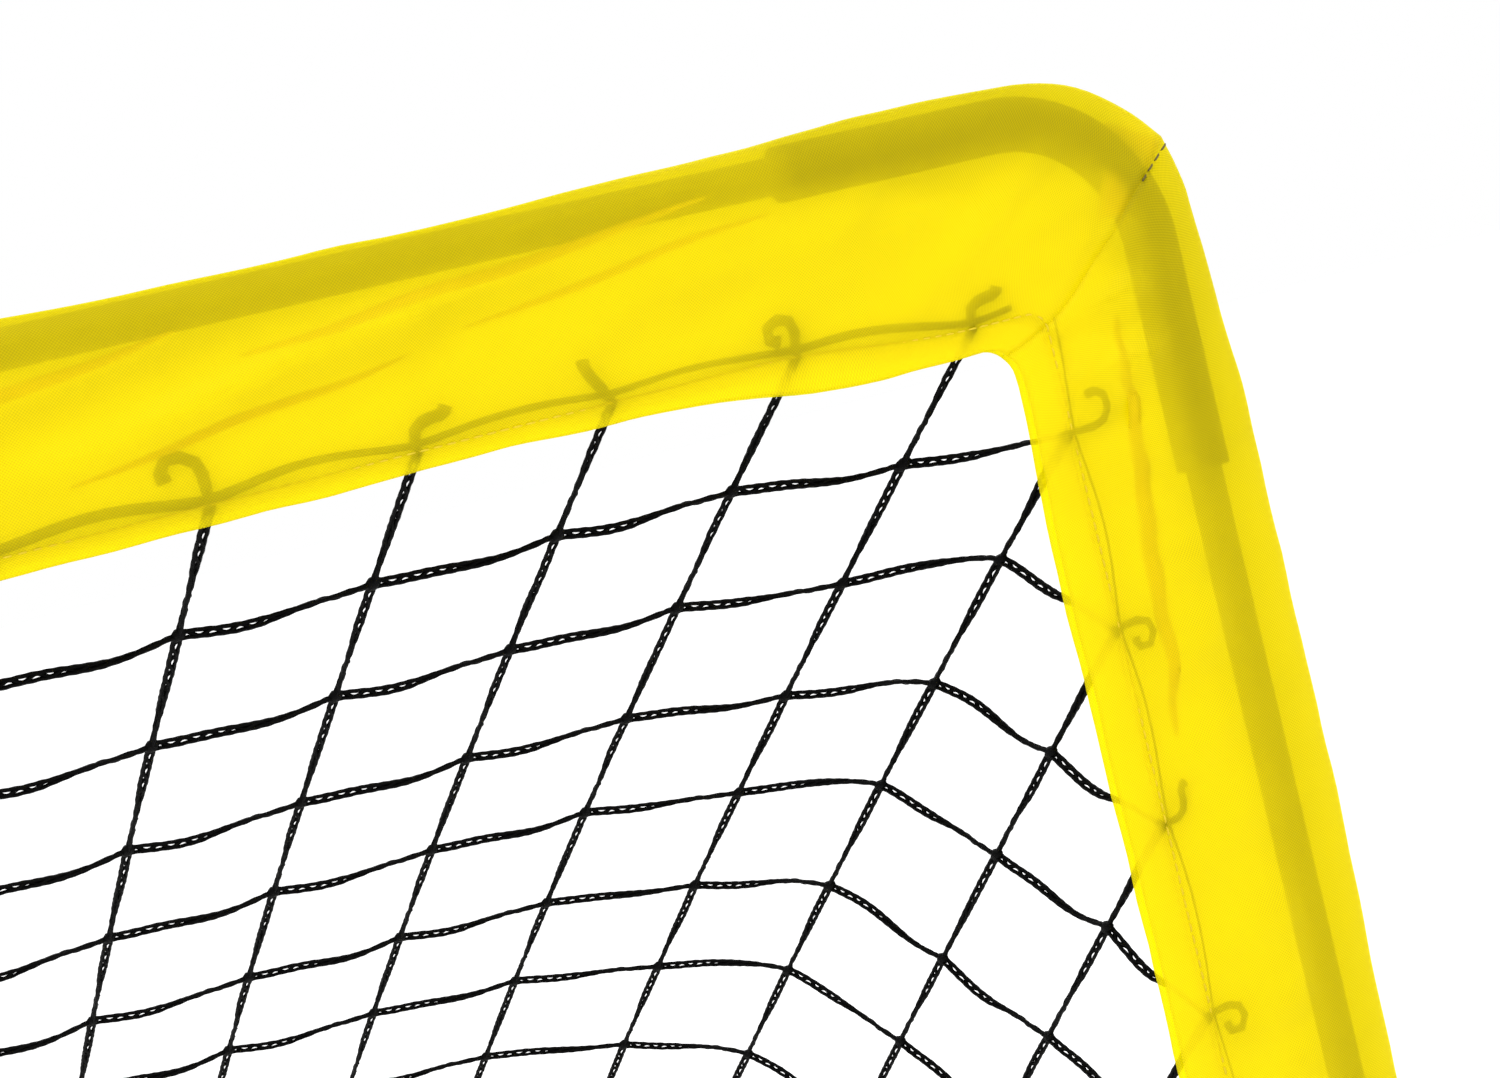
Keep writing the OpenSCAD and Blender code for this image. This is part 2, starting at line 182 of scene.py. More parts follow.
def start_material(name):
    """An empty material's tree, with its output node."""
    material = bpy.data.materials.new(name)
    material.use_nodes = True
    material.node_tree.nodes.clear()
    return material, material.node_tree, add(material.node_tree, "ShaderNodeOutputMaterial")


def speckled(name, colour, dark, grain, bump, depth, **surface):
    """A Principled finish whose colour and height follow a fine noise of a real grain size."""
    material, tree, out = start_material(name)
    place = add(tree, "ShaderNodeTexCoord").outputs["Object"]
    fine = add(tree, "ShaderNodeTexNoise", {"Vector": place, "Scale": 1 / grain, "Detail": 3.0})
    broad = add(tree, "ShaderNodeTexNoise", {"Vector": place, "Scale": 14.0, "Detail": 2.0})
    shade = add(tree, "ShaderNodeMapRange", {"Value": broad.outputs["Fac"], "From Min": 0.3,
                                             "From Max": 0.7, "To Min": dark, "To Max": 1.0})
    base = add(tree, "ShaderNodeVectorMath", {0: colour[:3], "Scale": shade.outputs["Result"]},
               operation="SCALE")
    rough = surface.pop("roughness")
    worn = add(tree, "ShaderNodeMapRange", {"Value": fine.outputs["Fac"], "From Min": 0.3,
                                            "From Max": 0.7, "To Min": rough - 0.06,
                                            "To Max": rough + 0.06})
    lift = add(tree, "ShaderNodeBump", {"Height": fine.outputs["Fac"], "Strength": bump,
                                        "Distance": depth})
    shader = add(tree, "ShaderNodeBsdfPrincipled",
                 {"Base Color": base.outputs["Vector"], "Roughness": worn.outputs["Result"],
                  "Normal": lift.outputs["Normal"]})
    for key, value in surface.items():
        shader.inputs[key.replace("_", " ").title().replace("Ior", "IOR")].default_value = value
    tree.links.new(shader.outputs["BSDF"], out.inputs["Surface"])
    return material


def powder_coated_steel():
    """Polyester powder coat: soft satin black with a fine orange peel of about 1 mm."""
    return speckled("powder coated steel", tint("steel"), 0.82, 0.0011, 0.25, 0.0002,
                    roughness=0.42, ior=1.5)


def zinc_plated_steel():
    """Zinc plate: bright grey metal, slightly cloudy, with a faint drawn grain."""
    return speckled("zinc plated steel", tint("zinc"), 0.8, 0.0004, 0.15, 0.0001,
                    roughness=0.34, metallic=1.0)


def moulded_nylon():
    """Moulded nylon: dull black with the fine spark texture of its mould."""
    return speckled("moulded nylon", tint("moulded"), 0.85, 0.0006, 0.3, 0.0001,
                    roughness=0.5, ior=1.53)


def moulded_rubber():
    """Rubber: matt charcoal with dust held in a coarse grain."""
    return speckled("moulded rubber", tint("rubber"), 0.75, 0.0015, 0.4, 0.0002,
                    roughness=0.82, ior=1.52)


def pultruded_fibreglass():
    """Pultruded fibreglass: satin resin with fine glass streaks along the rod."""
    material, tree, out = start_material("pultruded fibreglass")
    place = add(tree, "ShaderNodeTexCoord").outputs["Object"]
    spread = add(tree, "ShaderNodeMapping", {"Vector": place, "Scale": (40.0, 900.0, 40.0)})
    streak = add(tree, "ShaderNodeTexNoise", {"Vector": spread.outputs["Vector"], "Scale": 1.0,
                                              "Detail": 2.0})
    shade = add(tree, "ShaderNodeMapRange", {"Value": streak.outputs["Fac"], "To Min": 1.15,
                                             "To Max": 0.65})
    # the dark rod tint also stands in for the shade the rods throw in the sleeve
    base = add(tree, "ShaderNodeVectorMath", {0: tint("rod")[:3],
                                              "Scale": shade.outputs["Result"]},
               operation="SCALE")
    lift = add(tree, "ShaderNodeBump", {"Height": streak.outputs["Fac"], "Strength": 0.2,
                                        "Distance": 0.0001})
    shader = add(tree, "ShaderNodeBsdfPrincipled", {"Base Color": base.outputs["Vector"],
                                                    "Roughness": 0.38, "IOR": 1.55,
                                                    "Normal": lift.outputs["Normal"]})
    tree.links.new(shader.outputs["BSDF"], out.inputs["Surface"])
    return material


def braided_elastic():
    """Braided polyester over rubber: white with a diamond braid of 1.5 mm."""
    material, tree, out = start_material("braided elastic")
    place = add(tree, "ShaderNodeTexCoord").outputs["Object"]
    braid = add(tree, "ShaderNodeTexVoronoi", {"Vector": place, "Scale": 1 / 0.0015})
    # painted shade: the colour darkens towards the edges of the braid's cells, where the bump sits
    # lowest
    shade = add(tree, "ShaderNodeMapRange", {"Value": braid.outputs["Distance"], "To Min": 1.0,
                                             "To Max": 0.7})
    base = add(tree, "ShaderNodeVectorMath", {0: tint("elastic")[:3],
                                              "Scale": shade.outputs["Result"]},
               operation="SCALE")
    lift = add(tree, "ShaderNodeBump", {"Height": braid.outputs["Distance"], "Strength": 0.5,
                                        "Distance": 0.0003}, invert=True)
    shader = add(tree, "ShaderNodeBsdfPrincipled", {"Base Color": base.outputs["Vector"],
                                                    "Roughness": 0.8,
                                                    "Normal": lift.outputs["Normal"]})
    tree.links.new(shader.outputs["BSDF"], out.inputs["Surface"])
    return material


def weave(tree, along, across):
    """Height of a plain weave on the piece's own UV map, whose unit is a metre."""
    place = add(tree, "ShaderNodeUVMap", uv_map="cloth").outputs["UV"]
    split = add(tree, "ShaderNodeSeparateXYZ", {"Vector": place})
    waves = []
    for socket, pitch in (("X", along), ("Y", across)):
        turn = add(tree, "ShaderNodeMath", {0: split.outputs[socket], 1: 2 * math.pi / pitch},
                   operation="MULTIPLY")
        waves.append(add(tree, "ShaderNodeMath", {0: turn.outputs[0]}, operation="SINE"))
    both = add(tree, "ShaderNodeMath", {0: waves[0].outputs[0], 1: waves[1].outputs[0]},
               operation="MULTIPLY")
    return place, add(tree, "ShaderNodeMapRange", {"Value": both.outputs[0], "From Min": -1.0,
                                                   "From Max": 1.0}).outputs["Result"]


def woven_polyester():
    """Sheer plain-weave polyester: lemon yellow that glows where light comes through it and
    lets dark things inside show. Its threads are 0.35 mm apart, drawn at 0.8 mm to show."""
    material, tree, out = start_material("woven polyester")
    place, height = weave(tree, 0.0008, 0.0008)
    slub = add(tree, "ShaderNodeTexNoise", {"Vector": place, "Scale": 60.0, "Detail": 3.0})
    cloud = add(tree, "ShaderNodeMapRange", {"Value": slub.outputs["Fac"], "From Min": 0.3,
                                             "From Max": 0.7, "To Min": 0.95, "To Max": 1.0})
    base = add(tree, "ShaderNodeVectorMath", {0: tint("sleeve")[:3],
                                              "Scale": cloud.outputs["Result"]},
               operation="SCALE")
    lift = add(tree, "ShaderNodeBump", {"Height": height, "Strength": 0.25,
                                        "Distance": 0.00015})
    face = add(tree, "ShaderNodeBsdfPrincipled",
               {"Base Color": base.outputs["Vector"], "Roughness": 0.6, "IOR": 1.5,
                "Specular IOR Level": 0.3, "Normal": lift.outputs["Normal"]})
    glow = add(tree, "ShaderNodeBsdfTranslucent", {"Color": paint("#FFFA00")})
    body = add(tree, "ShaderNodeMixShader", {0: 0.5, 1: face.outputs["BSDF"],
                                             2: glow.outputs["BSDF"]})
    gaps = add(tree, "ShaderNodeBsdfTransparent", {"Color": paint("#FFFB50")})
    share = add(tree, "ShaderNodeMapRange", {"Value": height, "To Min": 0.62, "To Max": 0.38})
    mix = add(tree, "ShaderNodeMixShader", {0: share.outputs["Result"],
                                            1: body.outputs["Shader"],
                                            2: gaps.outputs["BSDF"]})
    tree.links.new(mix.outputs["Shader"], out.inputs["Surface"])
    return material


def knotless_twine():
    """Knitted polypropylene twine: black, slightly waxy, with a fuzz of fine filaments."""
    return speckled("knotless twine", tint("twine"), 0.8, 0.0005, 0.6, 0.0004,
                    roughness=0.6, ior=1.49, specular_ior_level=0.06)


def hem_webbing():
    """Narrow woven polypropylene webbing: dull black with ribs 1.2 mm apart."""
    material, tree, out = start_material("hem webbing")
    _, height = weave(tree, 0.0012, 0.0024)
    lift = add(tree, "ShaderNodeBump", {"Height": height, "Strength": 0.7, "Distance": 0.0004})
    base = add(tree, "ShaderNodeVectorMath", {0: tint("twine")[:3], 1: (0.012, 0.012, 0.012)},
               operation="ADD")
    # painted shade and highlight: the colour follows the weave's height, darker in its hollows and
    # lighter on its ribs
    shade = add(tree, "ShaderNodeMapRange", {"Value": height, "To Min": 0.6, "To Max": 1.4})
    colour = add(tree, "ShaderNodeVectorMath", {0: base.outputs["Vector"],
                                                "Scale": shade.outputs["Result"]},
                 operation="SCALE")
    shader = add(tree, "ShaderNodeBsdfPrincipled", {"Base Color": colour.outputs["Vector"],
                                                    "Roughness": 0.75, "IOR": 1.49,
                                                    "Normal": lift.outputs["Normal"]})
    tree.links.new(shader.outputs["BSDF"], out.inputs["Surface"])
    return material


def sewing_thread(name, colour):
    """Spun polyester thread: soft sheen, fine twist."""
    return speckled(name, colour, 0.85, 0.0003, 0.4, 0.0002, roughness=0.55, ior=1.5)


def pale_floor():
    """Plain matt studio floor, with the faint unevenness of a painted board."""
    material, tree, out = start_material("pale floor")
    place = add(tree, "ShaderNodeTexCoord").outputs["Object"]
    mottle = add(tree, "ShaderNodeTexNoise", {"Vector": place, "Scale": 3.0})
    shade = add(tree, "ShaderNodeMapRange", {"Value": mottle.outputs["Fac"], "To Min": 0.93,
                                             "To Max": 0.95})
    shader = add(tree, "ShaderNodeBsdfPrincipled", {"Base Color": shade.outputs["Result"],
                                                    "Roughness": 0.85})
    tree.links.new(shader.outputs["BSDF"], out.inputs["Surface"])
    return material


# --- meshes from rows of points ------------------------------------------------


def unit(vectors):
    """Vectors scaled to length 1 along their last axis."""
    return vectors / (np.linalg.norm(vectors, axis=-1, keepdims=True) + 1e-12)


def distances(points):
    """How far along a line of points each one lies."""
    return np.concatenate([[0], np.cumsum(np.linalg.norm(np.diff(points, axis=0), axis=1))])


def new_piece(name, points, quads, uv=None, material=None):
    """An object at the origin from points and four-sided faces; uv has one pair per corner."""
    mesh = bpy.data.meshes.new(name)
    mesh.from_pydata(np.asarray(points).tolist(), [], np.asarray(quads).tolist())
    if uv is not None:
        layer = mesh.uv_layers.new(name="cloth")
        layer.data.foreach_set("uv", np.asarray(uv, np.float32).ravel())
    mesh.polygons.foreach_set("use_smooth", [True] * len(mesh.polygons))
    mesh.update()
    piece = bpy.data.objects.new(name, mesh)
    bpy.context.scene.collection.objects.link(piece)
    if material:
        mesh.materials.append(material)
    return piece


def grid_quads(rows, ring, closed):
    """Faces of rows of points laid one after another; closed joins the row's ends."""
    spans = ring if closed else ring - 1
    r, k = np.meshgrid(np.arange(rows - 1), np.arange(spans), indexing="ij")
    n = (k + 1) % ring
    quads = np.stack([r * ring + k, r * ring + n, (r + 1) * ring + n, (r + 1) * ring + k], -1)
    return quads.reshape(-1, 4)


def tubes(paths, wide_dir, half_wide, half_thick, ring, taper=None):
    """Many like tubes at once, open at their ends: paths is tubes x points x 3."""
    count, points, _ = paths.shape
    along = unit(np.gradient(paths, axis=1))
    wide = unit(wide_dir - along * np.sum(wide_dir * along, axis=2, keepdims=True))
    thick = np.cross(along, wide)
    angle = 2 * math.pi * np.arange(ring) / ring
    scale = np.ones(points) if taper is None else np.asarray(taper, float)
    half_wide = np.broadcast_to(half_wide, (count, points)) * scale
    half_thick = np.broadcast_to(half_thick, (count, points)) * scale
    rings = (paths[:, :, None]
             + wide[:, :, None] * (half_wide[..., None] * np.cos(angle))[..., None]
             + thick[:, :, None] * (half_thick[..., None] * np.sin(angle))[..., None])
    quads = grid_quads(points, ring, True)
    shift = (np.arange(count) * points * ring)[:, None, None]
    return rings.reshape(-1, 3), (quads[None] + shift).reshape(-1, 4)


def pick(piece):
    """Selects one object alone and makes it active."""
    bpy.ops.object.select_all(action="DESELECT")
    bpy.context.view_layer.objects.active = piece
    piece.select_set(True)


def close_ends(piece):
    """Fills the open ends of every tube in a piece."""
    pick(piece)
    bpy.ops.object.mode_set(mode="EDIT")
    bpy.ops.mesh.select_mode(type="EDGE")
    bpy.ops.mesh.select_all(action="DESELECT")
    bpy.ops.mesh.select_non_manifold()
    bpy.ops.mesh.fill_holes(sides=0)
    bpy.ops.mesh.select_all(action="SELECT")
    bpy.ops.mesh.normals_make_consistent(inside=False)
    bpy.ops.object.mode_set(mode="OBJECT")
    faces = piece.data.polygons
    faces.foreach_set("use_smooth", [True] * len(faces))


def apply_modifiers(piece):
    pick(piece)
    for modifier in list(piece.modifiers):
        bpy.ops.object.modifier_apply(modifier=modifier.name)


def smooth_step(x):
    x = np.clip(x, 0, 1)
    return x * x * (3 - 2 * x)


def wobble(x, y, z, scale):
    """Repeatable soft noise between about -1 and 1."""
    return noise.noise(Vector((x * scale, y * scale, z * scale)))


# --- the net: laid out flat, then hung ---------------------------------------------


def seam_x(column):
    """Where a column of the net is sewn to the crossbar sleeve."""
    reach = SEAM_X - 0.020
    return -reach + 2 * reach * column / COLUMNS


def seam_z(x):
    """Height of the crossbar seam, which the net draws down near the corners."""
    return SEAM_Z + 0.0008 - 0.0045 * smooth_step((abs(x) - SEAM_X + 0.080) / 0.06)


def post_seam_z(k):
    """Height at which the k-th side column is sewn to the post sleeve."""
    return SEAM_Z - 0.036 - (k - 1) * POST_PITCH


def last_row(k):
    """The last row of the k-th side column, at the side rail."""
    return int(math.floor(ROWS - k * (ROWS - SIDE_ROWS) / SIDE_COLUMNS + 1e-6))


def round_corner(column):
    """How many columns past the crossbar's end a column lies; 0 on the back net."""
    return max(column - COLUMNS, -column, 0)


def lay_out_net():
    """Numbers the nodes and places them on straight columns. Returns places and which are sewn."""
    numbers = {}
    for column in range(-SIDE_COLUMNS, COLUMNS + SIDE_COLUMNS + 1):
        k = round_corner(column)
        for row in range(k, last_row(k) + 1):
            numbers[(row, column)] = len(numbers)
    places = np.zeros((len(numbers), 3))
    sewn = np.zeros(len(numbers), bool)
    tape_in = TUBE_R + 0.0018
    for (row, column), n in numbers.items():
        k = round_corner(column)
        side = 1 if column > COLUMNS / 2 else -1
        end = last_row(k)
        if k == 0:
            top = (seam_x(column), FRONT_Y, seam_z(seam_x(column)))
            low = (-REAR_HALF + 2 * REAR_HALF * column / COLUMNS, REAR_Y - tape_in, BASE_Z + 0.004)
        else:
            top = (side * SEAM_X, FRONT_Y, post_seam_z(k))
            low = hem_point(side, k, tape_in)
        share = (row - k) / max(end - k, 1)
        places[n] = np.array(top) * (1 - share) + np.array(low) * share
        sewn[n] = row == k or row == end
    return numbers, places, sewn


def hem_point(side, k, tape_in):
    """Where the k-th side column meets the lower hem, round the rear bend to the rail's front."""
    bend = REAR_BEND - tape_in
    corner = HALF_W - REAR_BEND
    rear_run = corner - REAR_HALF
    arc_run = bend * math.pi / 2
    rail_front = FRONT_Y + 0.048
    rail_run = REAR_Y - REAR_BEND - rail_front
    way = (rear_run + arc_run + rail_run) * k / SIDE_COLUMNS
    if way < rear_run:
        return (side * (REAR_HALF + way), REAR_Y - tape_in, BASE_Z + 0.004)
    way -= rear_run
    if way < arc_run:
        turn = way / bend
        return (side * (corner + bend * math.sin(turn)),
                REAR_Y - REAR_BEND + bend * math.cos(turn), BASE_Z + 0.004)
    way -= arc_run
    return (side * (HALF_W - tape_in), REAR_Y - REAR_BEND - way, BASE_Z + 0.004)


def hang_net():
    """Lets the laid-out net hang between its seams. Returns the node numbers and their places."""
    numbers, places, sewn = lay_out_net()
    free = np.where(sewn, 0.0, 1.0)
    length = sizes().mesh
    groups = []
    for step in ((1, 0), (0, 1)):
        for parity in (0, 1):
            pairs = [(n, numbers[(r + step[0], c + step[1])]) for (r, c), n in numbers.items()
                     if (r + step[0], c + step[1]) in numbers
                     and (r if step[0] else c) % 2 == parity]
            groups.append(np.array(pairs))
    speed = np.zeros_like(places)
    tick = 0.004
    for _ in range(500):
        pull = np.zeros_like(places)
        pull[:, 0] = -NET_PULL[0] * np.tanh(places[:, 0] / 0.5)
        pull[:, 1] = NET_PULL[1]
        pull[:, 2] = -GRAVITY
        speed = (speed + pull * tick) * 0.97 * free[:, None]
        moved = places + speed * tick
        for _ in range(6):
            for pairs in groups:
                a, b = pairs[:, 0], pairs[:, 1]
                gap = moved[b] - moved[a]
                span = np.linalg.norm(gap, axis=1)
                least = length * LEAST_SPAN
                over = np.where(span > length, span - length,
                                np.where(span < least, (span - least) * 0.3, 0.0))
                share = np.maximum(free[a] + free[b], 1e-9)
                fix = (over / share / span)[:, None] * gap
                moved[a] += fix * free[a][:, None]
                moved[b] -= fix * free[b][:, None]
        speed = (moved - places) / tick
        places = moved
    return numbers, places


def across_node(numbers, places, row, column, down, over):
    """From one neighbour of a node to the opposite one; the node stands in for a missing one."""
    here = numbers[(row, column)]
    before = numbers.get((row - down, column - over), here)
    after = numbers.get((row + down, column + over), here)
    return places[after] - places[before]


def cord_paths(numbers, places, pairs, step, points):
    """Curves of the cords between pairs of nodes, and the net's normal along each."""
    def line_dir(row, column):
        d = across_node(numbers, places, row, column, *step)
        return d / (np.linalg.norm(d) + 1e-9)

    def normal(row, column):
        n = np.cross(across_node(numbers, places, row, column, 0, 1),
                     across_node(numbers, places, row, column, 1, 0))
        size = np.linalg.norm(n)
        return n / size if size > 1e-9 else np.array([0.0, -0.7, 0.7])

    ends = [(row + step[0], column + step[1]) for row, column in pairs]
    a = np.array([places[numbers[s]] for s in pairs])
    b = np.array([places[numbers[e]] for e in ends])
    ta = np.array([line_dir(*s) for s in pairs])
    tb = np.array([line_dir(*e) for e in ends])
    na = np.array([normal(*s) for s in pairs])
    nb = np.array([normal(*e) for e in ends])
    span = np.linalg.norm(b - a, axis=1)
    slack = np.maximum(sizes().mesh - span, 0)
    t = np.linspace(0, 1, points)[None, :, None]
    h00 = 2 * t ** 3 - 3 * t ** 2 + 1
    h10 = t ** 3 - 2 * t ** 2 + t
    h01 = -2 * t ** 3 + 3 * t ** 2
    h11 = t ** 3 - t ** 2
    reach = span[:, None, None]
    path = (h00 * a[:, None] + h10 * ta[:, None] * reach
            + h01 * b[:, None] + h11 * tb[:, None] * reach)
    sag = 0.3 * np.sqrt(0.375 * slack * span)
    path[:, :, 2] -= (np.minimum(sag, 0.004)[:, None] * 4 * t[0, :, 0] * (1 - t[0, :, 0]))
    facing = na[:, None] * (1 - t) + nb[:, None] * t
    if step == (0, 1):
        facing = 0.5 * facing + np.array([0.0, 1.0, 0.0])
    return path, facing


def cord_twist(path, facing, flip):
    """Width direction of the flat cord: flat just after one node, on edge at the next."""
    points = path.shape[1]
    along = unit(np.gradient(path, axis=1))
    flat = unit(np.cross(along, facing))
    t = np.linspace(0, 1, points)
    turn = (math.pi / 2) * smooth_step((t - 0.35) / 0.6)
    turn = turn[None, :] * flip[:, None]
    up = np.cross(flat, along)
    return flat * np.cos(turn)[..., None] + up * np.sin(turn)[..., None]


def twist_sides(pairs):
    """Which way each cord twists, 1 or -1."""
    return np.array([1 if (r * 7 + c * 3) % 2 else -1 for r, c in pairs])


def plain_cords(numbers, places, pairs, step):
    """Light cords: a flat twisted strip of a few dozen faces each."""
    path, facing = cord_paths(numbers, places, pairs, step, 6)
    wide = cord_twist(path, facing, twist_sides(pairs))
    return tubes(path, wide, sizes().cord_wide / 2, sizes().cord_thick / 2, 5)


def knitted_cords(numbers, places, pairs, step):
    """Full cords: two edge strands and one laced between them, open in small eyelets after
    each node and drawn tight before the next."""
    points = 65
    path, facing = cord_paths(numbers, places, pairs, step, points)
    flip = twist_sides(pairs)
    t = np.linspace(0, 1, points)
    loose = [1 + (r * 5 + c * 11) % 3 for r, c in pairs]
    slack = sizes().mesh - np.linalg.norm(path[:, -1] - path[:, 0], axis=1)
    sway = np.clip(0.00012 * np.array(loose) + 0.25 * slack, 0.0001, 0.0018)
    path[:, :, 2] += (sway * flip)[:, None] * np.sin(2 * math.pi * t) * np.sin(math.pi * t)
    wide = cord_twist(path, facing, flip)
    thick = np.cross(unit(np.gradient(path, axis=1)), wide)
    phase = t * 15 * math.pi
    tight = smooth_step((t - 0.30) / 0.35)
    edge = 0.00086 - 0.00034 * tight + 0.00006 * np.sin(2 * phase)
    laced = (0.00070 - 0.00036 * tight) * np.sin(phase)
    over = 0.00030 * np.cos(phase)
    parts = []
    for side, lift in ((edge, -0.3 * over), (-edge, 0.3 * over), (laced, over)):
        strand = path + wide * side[None, :, None] + thick * lift[None, :, None]
        parts.append(tubes(strand, wide, 0.00060, 0.00064, 4))
    return join_parts(parts)


def net_nodes(numbers, places, picked):
    """Swollen crossings: a small flattened bead of a few dozen faces at each node."""
    ring, rows = 6, 5
    verts, quads = [], []
    base = grid_quads(rows, ring, True)
    for (row, column) in picked:
        here = numbers[(row, column)]
        down = across_node(numbers, places, row, column, 1, 0)
        across = across_node(numbers, places, row, column, 0, 1)
        if np.linalg.norm(down) < 1e-6 or np.linalg.norm(across) < 1e-6:
            continue
        down = down / np.linalg.norm(down)
        across = across / np.linalg.norm(across)
        facing = np.cross(across, down)
        facing /= np.linalg.norm(facing) + 1e-9
        size = 1 + 0.12 * wobble(row, column, 0, 0.7)
        shift = len(verts) * ring * rows
        bead = []
        for level, half in zip(np.linspace(-1, 1, rows), (0.35, 0.86, 1.0, 0.86, 0.35)):
            for k in range(ring):
                turn = 2 * math.pi * k / ring
                bead.append(places[here] + size * (down * level * 0.0027
                            + across * half * 0.0023 * math.cos(turn)
                            + facing * half * 0.0014 * math.sin(turn)))
        verts.append(np.array(bead))
        quads.append(base + shift)
    return np.concatenate(verts), np.concatenate(quads)


def join_parts(parts):
    verts, quads, offset = [], [], 0
    for v, q in parts:
        verts.append(v)
        quads.append(q + offset)
        offset += len(v)
    return np.concatenate(verts), np.concatenate(quads)


def near_corner(row, column):
    """The nodes near the upper right corner, whose cords are built in full."""
    return column >= COLUMNS - 6 and row <= 9 and column <= COLUMNS + 8


def net_part(in_side, column, corner):
    """The name of the piece that a cord or a node belongs to."""
    if corner:
        return "net_corner_side" if in_side else "net_corner_back"
    if in_side:
        return "net_side_right" if column >= COLUMNS / 2 else "net_side_left"
    return "net_back"


class GOAL_OT_net(bpy.types.Operator):
    """Hang the knotless net and lay its cords"""
    bl_idname = "goal.net"
    bl_label = "Net"

    def execute(self, context):
        numbers, places = hang_net()
        twine = knotless_twine()
        groups = {"net_back": [], "net_side_left": [], "net_side_right": [],
                  "net_corner_back": [], "net_corner_side": []}
        for step in ((1, 0), (0, 1)):
            sorted_pairs = {name: [] for name in groups}
            for (row, column) in sorted(numbers):
                far = (row + step[0], column + step[1])
                if far not in numbers:
                    continue
                k, k_far = round_corner(column), round_corner(far[1])
                if step == (0, 1) and row == last_row(k) and row == last_row(k_far):
                    continue
                if step == (0, 1) and row == 0:
                    continue
                corner = near_corner(row, column) and near_corner(*far)
                name = net_part(max(k, k_far) > 0, column, corner)
                sorted_pairs[name].append((row, column))
            for name, pairs in sorted_pairs.items():
                if pairs:
                    make = knitted_cords if "corner" in name else plain_cords
                    groups[name].append(make(numbers, places, pairs, step))
        picked = {name: [] for name in groups}
        for (row, column) in sorted(numbers):
            k = round_corner(column)
            if row not in (k, last_row(k)):
                name = net_part(k > 0, column, near_corner(row, column))
                picked[name].append((row, column))
        for name, parts in groups.items():
            if picked[name]:
                parts.append(net_nodes(numbers, places, picked[name]))
            verts, quads = join_parts(parts)
            piece = new_piece(name, verts, quads, material=twine)
            close_ends(piece)
            if "side" in name:
                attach(piece, "front_frame")
                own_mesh(piece)
            else:
                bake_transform(piece)
        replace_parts(bpy.data.objects["net_back"], "back_net")
        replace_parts(bpy.data.objects["net_side_left"], "side_net_left")
        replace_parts(bpy.data.objects["net_side_right"], "side_net_right")
        return {"FINISHED"}


# --- sleeves -----------------------------------------------------------------------


OUT_POINT = (0.0040, -0.0091)  # pointed outer corner of the cloth, less the posts' slack
INNER_TURN = 0.008             # radius of the hem's inner corner
FAN = 30                       # rows of cloth from the straight to the mitre
BOW = 0.0045                   # how far the mitre seam bows towards the post
ROD_ROOM = 0.0074              # half the room kept inside the sleeve for rods and elbows
FOLDS = 0.0031                 # height of the soft folds in the cloth
# slack folds of the crossbar sleeve, whose extra layers darken lines that stand in for the shade of its
# creases: x and z of each end from the seams' corner, then width
BAR_SHADE_TUCKS = ((-0.202, 0.031, -0.085, 0.0425, 0.0030), (-0.245, 0.012, -0.165, 0.023, 0.0022),
             (-0.330, 0.024, -0.215, 0.040, 0.0035), (-0.150, 0.026, -0.070, 0.036, 0.0020))
# columns of points across the cloth: round the rod in degrees, then shares of each part's width
ROUND = np.radians([0, 14, 30, 48, 68, 90])
MIDDLE = np.array([0.06, 0.13, 0.20, 0.27, 0.34, 0.41, 0.48, 0.55, 0.62, 0.69, 0.75, 0.81,
                   0.86, 0.91, 0.945, 0.975, 1.0])
FLAP = np.array([0.15, 0.4, 0.65, 0.85, 1.0])


def along_path(points, count):
    """Evenly spaced points along a broken line."""
    points = np.array(points)
    run = distances(points)
    want = np.linspace(0, run[-1], count)
    return np.stack([np.interp(want, run, points[:, k]) for k in (0, 1)], 1)


def arc(cx, cz, radius, start, end, count=14):
    turns = np.radians(np.linspace(start, end, count))
    return [(cx + radius * math.cos(a), cz + radius * math.sin(a)) for a in turns]


def bar_top(x):
    """Top edge of the crossbar sleeve, lifted where ferrules and the elbow fill it."""
    joint = sum(smooth_step(1.6 - abs(x - at) / 0.05) for at in FERRULES)
    return TOP_Z + EDGE + 0.0015 * joint + 0.0038 * smooth_step((x - HALF_W + 0.19) / 0.13)


def bar_hem(x):
    """Lower edge of the crossbar sleeve: the flap is drawn back, and hangs lower at the corner."""
    return SEAM_Z - 0.0036 - 0.0064 * smooth_step((x - SEAM_X + 0.115) / 0.07)


def post_edge(z):
    """Outer edge of the post sleeve, fullest about 120 mm under the crossbar."""
    depth = TOP_Z - z
    full = smooth_step((depth - 0.035) / 0.065) * (1 - smooth_step((depth - 0.14) / 0.18))
    return HALF_W + EDGE + POST_SLACK + 0.0024 * full


def post_hem(z):
    return SEAM_X - sizes().flap - 0.0012 * smooth_step((SEAM_Z - z - 0.03) / 0.05)


def corner_tip():
    return (HALF_W + POST_SLACK + OUT_POINT[0], TOP_Z + OUT_POINT[1])


def hem_corner(start, end):
    """The hem's rounded inner corner, between two angles in degrees."""
    return arc(SEAM_X - sizes().flap - INNER_TURN, SEAM_Z - 0.010 - INNER_TURN, INNER_TURN,
               start, end)


